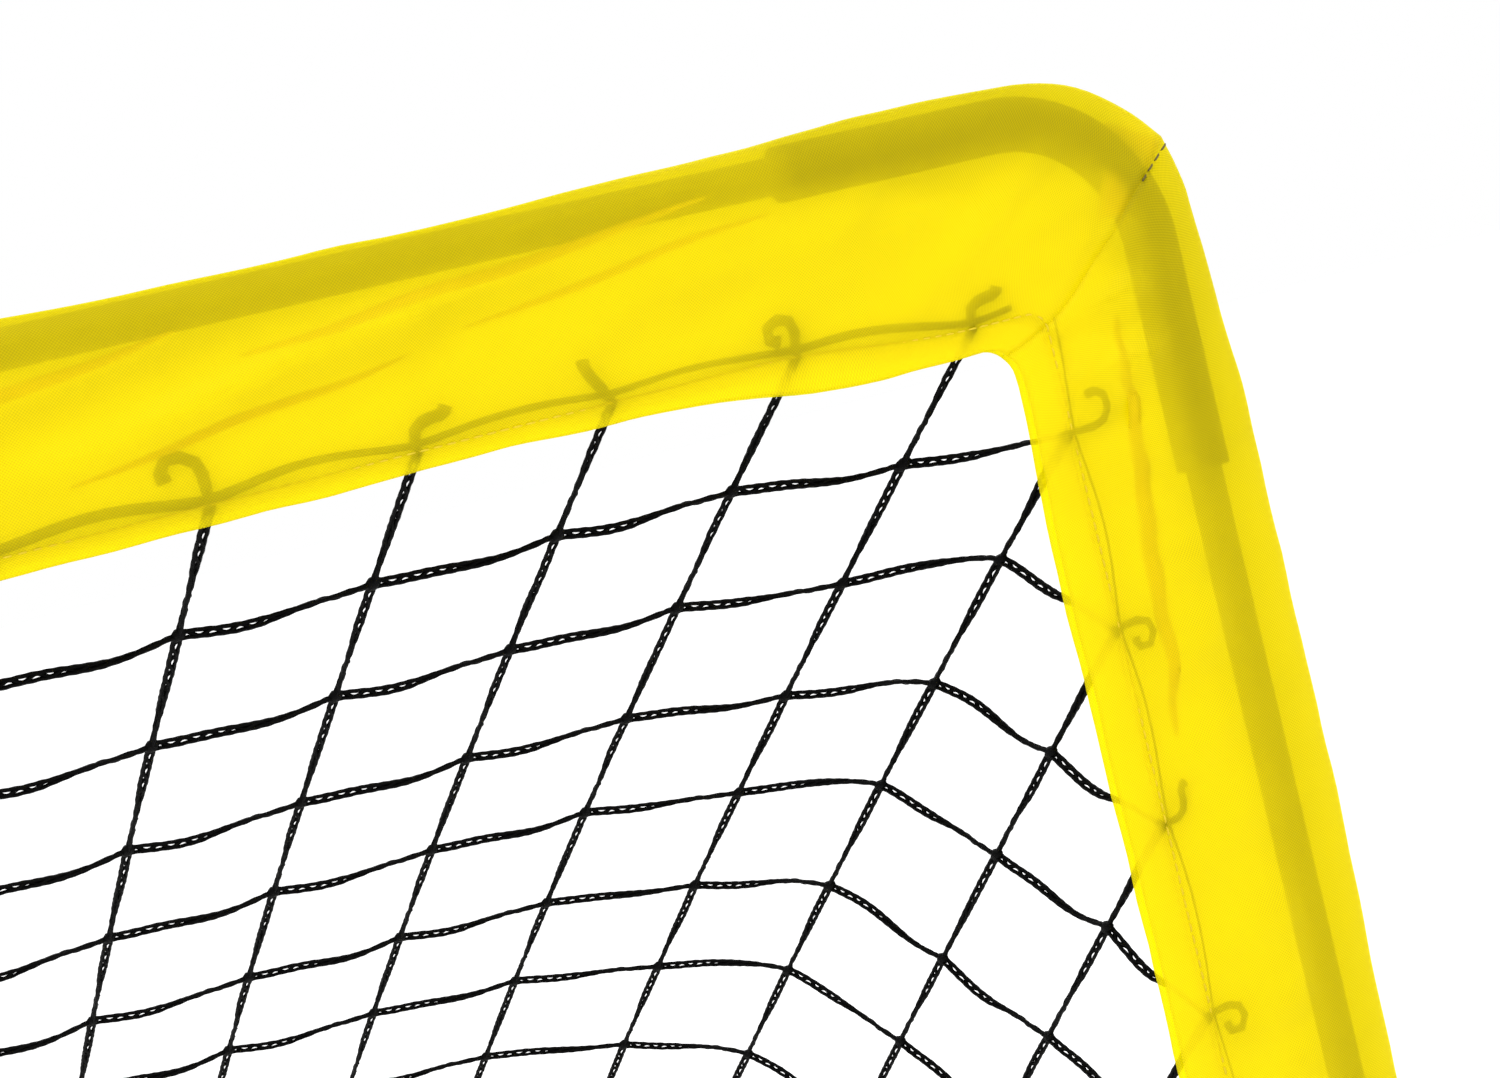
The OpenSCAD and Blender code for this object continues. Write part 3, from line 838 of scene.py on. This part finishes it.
def crossbar_rows():
    """Outer and inner edge of the crossbar sleeve, row by row from its middle to the mitre."""
    start = HALF_W - 0.085
    straight = np.arange(0, start - 0.001, 0.005)
    turn = np.linspace(start, HALF_W - 0.035, 12)
    outer_way = [(x, bar_top(x)) for x in turn]
    outer_way += arc(HALF_W - 0.031, TOP_Z - 0.036, 0.048, 90, 40) + [corner_tip()]
    hem_turn = np.linspace(start, SEAM_X - sizes().flap - INNER_TURN - 0.001, 12)
    inner_way = [(x, bar_hem(x)) for x in hem_turn] + hem_corner(90, 45)
    outer = np.concatenate([[(x, bar_top(x)) for x in straight], along_path(outer_way, FAN)])
    inner = np.concatenate([[(x, bar_hem(x)) for x in straight], along_path(inner_way, FAN)])
    fan = np.concatenate([np.zeros(len(straight)), np.linspace(0, 1, FAN)])
    return outer, inner, fan


def post_rows():
    """Outer and inner edge of a post sleeve, row by row from the mitre to its foot."""
    low = TOP_Z - 0.100
    tip = corner_tip()
    outer_way = [tip, (tip[0] + 0.0034, tip[1] - 0.0141)]
    outer_way += [(post_edge(z), z) for z in np.linspace(TOP_Z - 0.050, low, 8)]
    inner_way = hem_corner(45, 0)
    inner_way += [(post_hem(z), z) for z in np.linspace(inner_way[-1][1] - 0.001, low, 8)]
    straight = np.append(np.arange(low - 0.006, SLEEVE_FOOT + 0.001, -0.006), SLEEVE_FOOT)
    outer = np.concatenate([along_path(outer_way, FAN), [(post_edge(z), z) for z in straight]])
    inner = np.concatenate([along_path(inner_way, FAN), [(post_hem(z), z) for z in straight]])
    fan = np.concatenate([np.linspace(1, 0, FAN), np.zeros(len(straight))])
    return outer, inner, fan


def rod_gap(x, z):
    """Distance from a point to the centre line of the rods and the elbow."""
    cx, cz = HALF_W - BEND_R, BAR_Z - BEND_R
    if x < cx:
        return abs(z - BAR_Z)
    if z < cz:
        return abs(x - HALF_W)
    return abs(math.hypot(x - cx, z - cz) - BEND_R)


def half_section(width, centre, fan, flap):
    """Distances in from the outer edge and half thicknesses, from the edge to the hem."""
    seam = width - flap - 0.005 * smooth_step((fan - 0.35) / 0.65)
    flap = width - seam
    v = [centre * (1 - math.cos(a)) for a in ROUND]
    h = [TUBE_H * math.sin(a) for a in ROUND]
    for q in MIDDLE:
        v.append(centre + (seam - centre) * q)
        h.append(TUBE_H + (0.0023 - TUBE_H) * q ** 0.85)
    h[-3:] = [0.0023, 0.0019, 0.0011]
    for q in FLAP:
        v.append(seam + flap * q)
        h.append(0.0012 + 0.0008 * q)
    return np.array(v), np.array(h), seam


def cloth_strip(outer, inner, fan, seed, side, flap_at, draw):
    """Points of a sleeve: front half from hem to outer edge, then back half to the hem."""
    rows = []
    for (ox, oz), (ix, iz), f in zip(outer, inner, fan):
        width = math.hypot(ix - ox, iz - oz)
        dx, dz = (ix - ox) / width, (iz - oz) / width
        centre = min(np.arange(0.006, 0.040, 0.0005),
                     key=lambda reach: rod_gap(ox + dx * reach, oz + dz * reach))
        v, h, seam = half_section(width, centre, f, flap_at(ix, iz))
        edge_wave = 0.0009 * wobble(ox, oz, seed, 17) + 0.0005 * wobble(ox, oz, seed + 3, 60)
        hem_wave = 0.0009 * wobble(ix, iz, seed + 7, 21) + 0.0006 * wobble(ix, iz, seed + 5, 55)
        pinch = 0.0006 * smooth_step((f - 0.93) / 0.07)
        front, back = [], []
        for k in range(len(v)):
            share = v[k] / width
            reach = v[k] + edge_wave * (1 - share) + hem_wave * share ** 3
            bow = BOW * f ** 2 * math.sin(math.pi * min(1, share) ** 2.1)
            x, z = ox + dx * reach - dz * bow, oz + dz * reach + dx * bow
            soft = math.sin(math.pi * min(1, share / 0.87)) if share < 0.87 else 0
            soft = soft + 0.12 if share > 0.1 else soft
            past = max(0, v[k] - seam) / (width - seam)
            lean = draw * (1 - 0.8 * f) * past
            drift = 0.0008 * wobble(x, z, seed + 11, 26) * (1 - past) * share
            gap = rod_gap(x, z)
            soft = soft * (0.1 + 0.9 * smooth_step((gap - 0.005) / 0.008))
            fold = FOLDS * crease(x, z, seed) * soft
            behind = FOLDS * crease(x, z, seed + 31) * soft
            room = math.sqrt(max(0, ROD_ROOM ** 2 - gap ** 2))
            ahead = min(lean + drift - h[k] - fold + pinch, -room)
            front.append((side * x, FRONT_Y + ahead, z))
            back.append((side * x, FRONT_Y + max(lean + drift + h[k] + behind, room), z))
        rows.append(front[::-1] + back[1:])
    return np.array(rows)


def crease(x, z, seed):
    """Height of the soft diagonal folds and small puckers in the cloth."""
    broad = wobble(x * 0.45 + z * 1.5, z * 0.35 - x * 0.2, seed, 24)
    diagonal = 1 - 5 * abs(wobble(x * 0.32 - z * 1.25, z * 0.25 + x * 0.10, seed + 4, 34))
    steep = 1 - 5 * abs(wobble(x * 0.75 - z * 1.1, z * 0.3, seed + 6, 27))
    fine = wobble(x * 0.5 + z * 1.3, x * 0.9, seed + 2, 85)
    return 0.5 * broad + 0.75 * max(diagonal, -0.4) + 0.45 * max(steep, -0.4) + 0.3 * fine


def bar_flap(x, z):
    return max(seam_z(x) - bar_hem(x), 0.004)


def post_flap(x, z):
    return SEAM_X - post_hem(z)


def cloth_piece(name, rows, material):
    """A sleeve from its rows of points, given its cloth's thickness."""
    count, ring, _ = rows.shape
    quads = grid_quads(count, ring, False)
    run = distances(rows[:, ring // 2])
    girth = distances(rows[count // 2])
    r, k = np.divmod(quads, ring)
    uv = np.stack([run[r], girth[k]], -1).reshape(-1, 2)
    piece = new_piece(name, rows.reshape(-1, 3), quads, uv, material)
    thick = piece.modifiers.new("cloth", "SOLIDIFY")
    thick.thickness = 0.0004
    thick.offset = 0
    apply_modifiers(piece)
    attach(piece, "front_frame")
    return piece, float(run[-1]), float(girth[-1])


def shade_tuck(rows, axis, start, end, wide):
    """A narrow fold of slack cloth just behind the front of a sleeve, its extra layers a painted crease
    shade; ends are x and z.
    """
    half = rows.shape[1] // 2 + 1
    across = 2 - axis
    strip = []
    for t in np.linspace(0, 1, 26):
        at = np.array([start[0] + (end[0] - start[0]) * t, 0, start[1] + (end[1] - start[1]) * t])
        at[across] += 0.0012 * wobble(at[0], at[2], 3, 35)
        row = rows[np.argmin(abs(rows[:, 0, axis] - at[axis]))][:half]
        order = np.argsort(row[:, across])
        spread = wide * math.sin(math.pi * (0.03 + 0.94 * t)) ** 0.7
        line = []
        for layer, q in ((0, -0.5), (0, 0), (0, 0.5), (1, 0.5), (1, 0), (1, -0.3)):
            point = at.copy()
            point[across] += spread * q
            point[1] = np.interp(point[across], row[order, across], row[order, 1])
            point[1] += 0.0008 + 0.0007 * layer
            line.append(point)
        strip.append(line)
    return np.array(strip)


def seam_allowance(mitre):
    """Rows of the cloth turned in behind the corner seam, widest at the pointed corner."""
    front = mitre[:len(mitre) // 2 + 1][::-1]
    run = distances(front[:, [0, 2]])
    side = math.copysign(1, front[0, 0])
    rows = []
    for s in np.linspace(0.0025, 0.027, 12):
        at = np.array([np.interp(s, run, front[:, k]) for k in range(3)])
        wide = 0.0145 * (1 - s / 0.034) ** 0.6
        out = [at + (-side * q * wide, 0.0011 + 0.0005 * q, 0.65 * q * wide * (1 - s / 0.03))
               for q in np.linspace(0, 1, 6)]
        rows.append(out + [point + (0, 0.0009, 0) for point in out[::-1]])
    return np.array(rows)


class GOAL_OT_sleeves(bpy.types.Operator):
    """Sew the cloth sleeves over the crossbar and the posts"""
    bl_idname = "goal.sleeves"
    bl_label = "Sleeves"

    def execute(self, context):
        cloth = woven_polyester()
        outer, inner, fan = crossbar_rows()
        right = cloth_strip(outer, inner, fan, 2.0, 1, bar_flap, 0.006)
        left = cloth_strip(outer, inner, fan, 9.0, -1, bar_flap, 0.006)
        blend_in = smooth_step(outer[:, 0] / 0.15)[:, None, None]
        shared = (right + left * (-1, 1, 1)) / 2
        right_half = shared * (1 - blend_in) + right * blend_in
        left_half = (shared * (1 - blend_in) + left * (-1, 1, 1) * blend_in) * (-1, 1, 1)
        rows = np.concatenate([left_half[::-1], right_half[1:]])
        bar, run, girth = cloth_piece("sleeve_crossbar", rows, cloth)
        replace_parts(bar, "crossbar_sleeve")
        outer, inner, fan = post_rows()
        for side, word, seed in ((1, "right", 4.0), (-1, "left", 13.0)):
            rows = cloth_strip(outer, inner, fan, seed, side, post_flap, 0.001)
            bar_rows = right if side > 0 else left
            mitre = bar_rows[-1]
            ease = np.clip(1 - np.arange(len(rows)) / 6, 0, 1)[:, None, None]
            rows = rows + (mitre - rows[0]) * ease
            if side > 0:
                rows = rows[::-1]
            post, run, girth = cloth_piece("sleeve_post_" + word, rows, cloth)
            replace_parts(post, "post_sleeve_" + word)
            cloth_piece("corner_allowance_" + word, seam_allowance(mitre), cloth)
            # the tucks' extra layers of cloth darken lines that stand in for the shade of the
            # crossbar's creases
            for n, (x0, z0, x1, z1, wide) in enumerate(BAR_SHADE_TUCKS):
                fold = shade_tuck(bar_rows, 0, (side * (SEAM_X + x0), SEAM_Z + z0),
                            (side * (SEAM_X + x1), SEAM_Z + z1), wide)
                cloth_piece("bar_shade_tuck_%s_%d" % (word, n), fold, cloth)
            # a tuck down the post, darkening a line that stands in for the shade of a crease
            fold = shade_tuck(rows, 2, (side * (SEAM_X + 0.019), SEAM_Z - 0.010),
                        (side * (SEAM_X + 0.009), SEAM_Z - 0.120), 0.0045)
            cloth_piece("post_shade_tuck_" + word, fold, cloth)
        return {"FINISHED"}


# --- sewing: stitches, border cords and cut cord ends -------------------------------


def seam_line():
    """The seam's path from the middle of the crossbar round the corner to the post's foot."""
    turn = 0.005
    top = seam_z(SEAM_X) - turn
    points = [(x, seam_z(x)) for x in np.arange(0, SEAM_X - turn, 0.004)]
    points += arc(SEAM_X - turn, top, turn, 90, 0, 8)
    points += [(SEAM_X, z) for z in np.arange(top - 0.004, SLEEVE_FOOT + 0.002, -0.004)]
    return np.array(points)


def stitches(path, y, pitch, length, wide):
    """Small separate stitches laid along a line; path is points x and z."""
    run = distances(path)
    starts = np.arange(pitch, run[-1] - pitch, pitch)
    rows = []
    for s in starts:
        t = s + length * np.array([-0.5, -0.3, 0.0, 0.3, 0.5])
        x = np.interp(t, run, path[:, 0])
        z = np.interp(t, run, path[:, 1])
        lift = np.array([0.0, 1.0, 1.25, 1.0, 0.0]) * 0.00035 * (1 if y > FRONT_Y else -1)
        rows.append(np.stack([x, y + lift, z], 1))
    rows = np.array(rows)
    wide_dir = np.zeros_like(rows)
    along = rows[:, -1] - rows[:, 0]
    wide_dir[:, :, 0] = -along[:, None, 2]
    wide_dir[:, :, 2] = along[:, None, 0]
    return tubes(rows, wide_dir, wide / 2, wide / 2.4, 5, taper=(0.5, 1, 1, 1, 0.5))


def mirrored(part):
    """A part's mirror image in the goal's middle plane."""
    verts, quads = part
    return verts * (-1, 1, 1), quads[:, ::-1]


# cut ends of net cord, in millimetres along the seam and away from it
TAILS = {
    "hook": [(0, 0), (0, 3.5), (0, 7), (-1, 10), (-4, 12), (-7.5, 12), (-9, 9.5), (-8.5, 7)],
    "stub": [(0, 0), (0, 2.5), (-0.5, 5), (-2.5, 6.5), (-5, 7), (-7, 7), (-8.5, 8), (-9, 9)],
    "curl": [(0, 0), (0.5, 3), (1, 6), (0, 9), (-3, 10), (-6, 8.5), (-6, 5.5), (-3.5, 4.5)],
    "tee": [(0, 0), (-1, 2), (-2, 4), (-3.5, 6), (-4.5, 8), (-5, 9.5), (-5, 10.5), (-5, 11.5)],
}


def tail_path(kind, base, inward, up):
    """A cut end of net cord curling inside the sleeve, from the seam outwards."""
    out = []
    for n, (a, b) in enumerate(TAILS[kind]):
        point = np.array(base) + inward * a * 0.001 + up * b * 0.001
        point[1] = FRONT_Y - 0.0006 * smooth_step(n / 3) + 0.0003 * math.sin(n * 1.3)
        out.append(point)
    return np.array(out)


def border_wave(s, period):
    """How far the net's border cord is drawn off its seam: in at each mesh, out between."""
    bay = abs(math.sin(math.pi * s / period))
    return 0.0016 + 0.0021 * bay ** 1.4 + 0.0009 * wobble(s, 3, 0, 30)


class GOAL_OT_sewing(bpy.types.Operator):
    """Lay the stitches, the border cord and the cut cord ends inside the sleeves"""
    bl_idname = "goal.sewing"
    bl_label = "Sewing"

    def execute(self, context):
        # the thread's darker olive tint partly paints the shade of the stitches and their needle holes
        thread = sewing_thread("sewing thread", tint("thread"))
        seam = seam_line()
        parts = []
        for y in (FRONT_Y - 0.0012, FRONT_Y + 0.0012):
            one = stitches(seam, y, sizes().stitch, sizes().stitch * 0.72, 0.0005)
            parts += [one, mirrored(one)]
        self.lay("seam_stitches", join_parts(parts), thread, "sleeve_polyester")

        dark = sewing_thread("corner thread", paint("#5E5200"))
        tip = np.array(corner_tip())
        hem = np.array(hem_corner(45, 45)[0])
        bow = np.array([-(hem - tip)[1], (hem - tip)[0]]) / np.linalg.norm(hem - tip)
        way = np.array([tip + (hem - tip) * t + bow * BOW * math.sin(math.pi * t ** 2.1)
                        for t in np.linspace(0.03, 0.27, 12)])
        one = stitches(way, FRONT_Y - TUBE_H + 0.0006, 0.0034, 0.0024, 0.0006)
        self.lay("corner_stitches", join_parts([one, mirrored(one)]), dark, "sleeve_polyester")

        twine = knotless_twine()
        gap = seam_x(1) - seam_x(0)
        bar_run = np.arange(-SEAM_X + 0.004, SEAM_X - 0.004, 0.005)
        bar_path = np.array([(x, FRONT_Y - 0.0004,
                              seam_z(x) + border_wave(x - seam_x(0), gap)) for x in bar_run])
        post_run = np.arange(SEAM_Z - 0.006, SLEEVE_FOOT + 0.001, -0.005)
        post_path = np.array([(SEAM_X + border_wave(z - post_seam_z(1), POST_PITCH),
                               FRONT_Y + 0.0004, z) for z in post_run])
        jobs = (("border_crossbar", bar_path, "crossbar_border_cord"),
                ("border_post_right", post_path, "post_border_cord_right"),
                ("border_post_left", post_path * (-1, 1, 1), "post_border_cord_left"))
        for name, path, node in jobs:
            wide = np.zeros((1, len(path), 3))
            wide[..., 1] = 1
            half = 0.0013 if name == "border_crossbar" else 0.0005
            swell = [0.8 + 0.65 * wobble(x, z, 1, 13) for x, _, z in path]
            part = tubes(path[None], wide, half * 0.7, half, 8, taper=swell)
            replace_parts(self.lay(name, part, twine, "net_twine"), node)

        paths = []
        kinds = ("hook", "stub", "tee", "curl", "stub")
        for column in range(COLUMNS + 1):
            kind = kinds[(column + 4) % 5]
            flip = -1 if column * 5 % 3 == 1 and kind != "hook" else 1
            base = (seam_x(column), FRONT_Y, seam_z(seam_x(column)))
            paths.append(tail_path(kind, base, np.array([flip, 0, 0.0]), np.array([0, 0, 1.0])))
        for side in (1, -1):
            for k in range(1, SIDE_COLUMNS + 1):
                kind = ("curl", "hook", "curl", "stub")[k % 4]
                paths.append(tail_path(kind, (side * SEAM_X, FRONT_Y, post_seam_z(k)),
                                       np.array([0, 0, -1.0 if k % 2 else 1.0]),
                                       np.array([side, 0, 0.0])))
        paths = np.array(paths)
        along = np.gradient(paths, axis=1)
        wide = np.cross(along, np.broadcast_to((0.0, 1.0, 0.0), along.shape))
        half = np.where(np.arange(len(paths)) > COLUMNS, 0.0011, 0.0015)[:, None]
        part = tubes(paths, wide, half, 0.0008, 6, taper=(0.7, 0.9, 1, 1, 1, 1, 1.1, 1.2))
        self.lay("cut_cord_ends", part, twine, "net_twine")
        return {"FINISHED"}

    def lay(self, name, part, material, slot):
        """A piece of thread or cord that turns with the front frame."""
        piece = new_piece(name, *part, material=material)
        close_ends(piece)
        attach(piece, "front_frame")
        return piece


# --- lower hem -----------------------------------------------------------------------


class GOAL_OT_hem(bpy.types.Operator):
    """Bind the net's lower edge with webbing and strap it to the ground tubes"""
    bl_idname = "goal.hem"
    bl_label = "Lower hem"

    def execute(self, context):
        webbing = hem_webbing()
        off = TUBE_R + 0.0016
        bend = REAR_BEND - off
        corner = HALF_W - REAR_BEND
        y_turn = REAR_Y - REAR_BEND
        half = [(x, REAR_Y - off) for x in np.arange(0, corner, 0.01)]
        half += [(corner + bend * math.sin(a), y_turn + bend * math.cos(a))
                 for a in np.linspace(0, math.pi / 2, 12)]
        half += [(HALF_W - off, y) for y in np.arange(y_turn - 0.01, FRONT_Y + 0.046, -0.01)]
        half = np.array(half)
        path = np.concatenate([half[::-1] * (-1, 1), half[1:]])
        line = np.array([(x, y, BASE_Z + 0.0006 * wobble(x, y, 2, 12)) for x, y in path])
        up = np.zeros((1, len(line), 3))
        up[..., 2] = 1
        ring = 10
        verts, quads = tubes(line[None], up, 0.0060, 0.0012, ring)
        run = distances(line)
        r, k = np.divmod(quads, ring)
        k = np.where((k == 0) & (np.roll(k, 1, axis=1) == ring - 1), ring, k)
        uv = np.stack([run[r], k * 0.0026], -1).reshape(-1, 2)
        tape = new_piece("hem_tape", verts, quads, uv, webbing)
        close_ends(tape)
        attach(tape, "base")
        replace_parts(tape, "hem_tape_left", "hem_tape_rear", "hem_tape_right")

        parts, uvs = [], []
        rail_rear = REAR_Y - REAR_BEND
        spots = [((side * HALF_W, FRONT_Y + k * (rail_rear - FRONT_Y - 0.04) / 5),
                  (0, 1), (-side, 0)) for side in (-1, 1) for k in (1, 2, 3, 4)]
        spots += [((side * share * corner, REAR_Y), (1, 0), (0, -1))
                  for side in (-1, 1) for share in (0.13, 0.44, 0.75)]
        for (cx, cy), axis, inside in spots:
            part, uv = strap_loop((cx, cy), axis, inside)
            parts.append(part)
            uvs.append(uv)
        verts, quads = join_parts(parts)
        straps = new_piece("hem_straps_cloth", verts, quads, np.concatenate(uvs), webbing)
        thick = straps.modifiers.new("strap", "SOLIDIFY")
        thick.thickness = 0.0012
        thick.offset = 1
        apply_modifiers(straps)
        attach(straps, "base")
        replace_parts(straps, "hem_straps")
        return {"FINISHED"}


def strap_loop(centre, axis, inside):
    """A hook-and-loop strap round a tube and the tape, its end lapped over itself."""
    rx, rz = 0.0125, 0.0116
    around = 34
    turns = np.radians(np.linspace(-60, 345, around))
    lap = np.clip((np.arange(around) - 28) / 2.5, 0, 1) * 0.0014
    rows = []
    for width in np.linspace(-0.0125, 0.0125, 5):
        row = []
        for a, raise_by in zip(turns, lap):
            c, s = math.cos(a), math.sin(a)
            squarish = (abs(c) ** 4 + abs(s) ** 4) ** -0.13
            reach = (rx + raise_by) * squarish
            side = c * reach + 0.0011
            row.append((centre[0] + axis[0] * width + inside[0] * side,
                        centre[1] + axis[1] * width + inside[1] * side,
                        BASE_Z + s * (rz + raise_by) * squarish))
        rows.append(row)
    rows = np.array(rows)
    quads = grid_quads(len(rows), around, False)
    if inside[0] * axis[1] - inside[1] * axis[0] > 0:
        quads = quads[:, ::-1]
    r, k = np.divmod(quads, around)
    uv = np.stack([r * 0.006, k * 0.0026], -1).reshape(-1, 2)
    return (rows.reshape(-1, 3), quads), uv


# --- finishes on the CAD nodes --------------------------------------------------------


class GOAL_OT_finishes(bpy.types.Operator):
    """Give every tube, fastener and moulding its finish"""
    bl_idname = "goal.finishes"
    bl_label = "Finishes"

    def execute(self, context):
        by_finish = {
            powder_coated_steel: ("side_rail", "rear_elbow", "rear_bar", "rear_coupler",
                                  "hinge_bracket"),
            zinc_plated_steel: ("pivot_", "bracket_bolts", "bracket_nuts", "snap_springs",
                                "rail_button", "bar_button", "coupler_button", "post_ferrule",
                                "crossbar_ferrules"),
            moulded_nylon: ("rail_end_plugs", "post_socket", "top_elbow"),
            moulded_rubber: ("rubber_feet",),
            pultruded_fibreglass: ("post_rod", "crossbar_rods"),
            braided_elastic: ("shock_cord",),
            hem_webbing: ("hem_tape", "hem_straps"),
            knotless_twine: ("back_net", "side_net", "crossbar_border", "post_border"),
            woven_polyester: ("crossbar_sleeve", "post_sleeve"),
        }
        finished = set()
        for make, starts in by_finish.items():
            material = make()
            for name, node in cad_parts.items():
                if name.startswith(starts):
                    for spot in node.material_slots:
                        spot.material = material
                    if not node.material_slots:
                        node.data.materials.append(material)
                    finished.add(name)
        left = set(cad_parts) - finished
        if left:
            raise RuntimeError("no finish for " + ", ".join(sorted(left)))
        return {"FINISHED"}


# --- stage -----------------------------------------------------------------------------


CORNER = (SEAM_X, FRONT_Y, SEAM_Z)
VIEW_FROM = (-0.2916, -0.5380, 0.0063)   # camera from the corner of the seams, metres
VIEW_TURN = (20.3, -4.6, -14.1)          # yaw to the right, pitch up, roll, degrees
VIEW_LENS = 56.4                         # millimetres on a 36 mm wide frame


class GOAL_OT_stage(bpy.types.Operator):
    """Lay a pale floor, soft lights and the camera"""
    bl_idname = "goal.stage"
    bl_label = "Stage"

    def execute(self, context):
        bpy.ops.object.select_all(action="DESELECT")
        bpy.ops.mesh.primitive_plane_add(size=60, location=(0, 0, 0))
        floor = context.active_object
        floor.name = "floor"
        floor.data.materials.append(pale_floor())
        scene = context.scene
        scene.view_settings.view_transform = "Standard"
        world = bpy.data.worlds.new("studio")
        world.use_nodes = True
        world.node_tree.nodes["Background"].inputs["Color"].default_value = (1, 1, 1, 1)
        world.node_tree.nodes["Background"].inputs["Strength"].default_value = 1.0
        scene.world = world
        sun = bpy.data.lights.new("roof light", "SUN")
        sun.energy = 1.25
        sun.angle = math.radians(12)
        roof = bpy.data.objects.new("roof light", sun)
        roof.rotation_euler = (math.radians(28), math.radians(-18), 0)
        scene.collection.objects.link(roof)
        lamps = (("key", (-2.4, -2.4, 3.8), 1.2, 25), ("fill", (3.0, -2.0, 1.8), 2.4, 8),
                 ("behind", (0.8, 2.6, 3.0), 2.6, 25))
        for name, place, size, power in lamps:
            data = bpy.data.lights.new(name, "AREA")
            data.energy = power
            data.size = size
            lamp = bpy.data.objects.new(name, data)
            lamp.location = place
            aim = Vector((0.5, -0.3, 0.9)) - Vector(place)
            lamp.rotation_euler = aim.to_track_quat("-Z", "Y").to_euler()
            scene.collection.objects.link(lamp)
        yaw, pitch, roll = (math.radians(a) for a in VIEW_TURN)
        ahead = Vector((math.sin(yaw) * math.cos(pitch), math.cos(yaw) * math.cos(pitch),
                        math.sin(pitch)))
        right = Vector((math.cos(yaw), -math.sin(yaw), 0))
        up = right.cross(ahead)
        right_r = right * math.cos(roll) + up * math.sin(roll)
        up_r = up * math.cos(roll) - right * math.sin(roll)
        data = bpy.data.cameras.new("camera")
        data.lens = VIEW_LENS
        data.sensor_width = 36
        data.clip_start = 0.01
        camera = bpy.data.objects.new("camera", data)
        turn = Matrix((right_r, up_r, -ahead)).transposed().to_4x4()
        camera.matrix_world = Matrix.Translation(Vector(CORNER) + Vector(VIEW_FROM)) @ turn
        scene.collection.objects.link(camera)
        scene.camera = camera
        return {"FINISHED"}


class GOAL_PT_panel(bpy.types.Panel):
    """Panel that lists the goal's building steps"""
    bl_idname = "GOAL_PT_panel"
    bl_label = "Folding goal"
    bl_space_type = "VIEW_3D"
    bl_region_type = "UI"
    bl_category = "Goal"

    def draw(self, context):
        for group in (context.scene.goal_sizes, context.scene.goal_colours):
            for name in group.__annotations__:
                self.layout.prop(group, name)
        for step in STEPS:
            self.layout.operator(step.bl_idname)


STEPS = (GOAL_OT_finishes, GOAL_OT_net, GOAL_OT_sleeves, GOAL_OT_sewing, GOAL_OT_hem,
         GOAL_OT_stage)
CLASSES = (GoalSizes, GoalColours) + STEPS + (GOAL_PT_panel,)


def register():
    for item in CLASSES:
        bpy.utils.register_class(item)
    bpy.types.Scene.goal_sizes = bpy.props.PointerProperty(type=GoalSizes)
    bpy.types.Scene.goal_colours = bpy.props.PointerProperty(type=GoalColours)


def unregister():
    del bpy.types.Scene.goal_colours
    del bpy.types.Scene.goal_sizes
    for item in reversed(CLASSES):
        bpy.utils.unregister_class(item)


def main():
    register()
    bpy.ops.goal.finishes()
    bpy.ops.goal.net()
    bpy.ops.goal.sleeves()
    bpy.ops.goal.sewing()
    bpy.ops.goal.hem()
    bpy.ops.goal.stage()


if __name__ == "__main__":
    main()
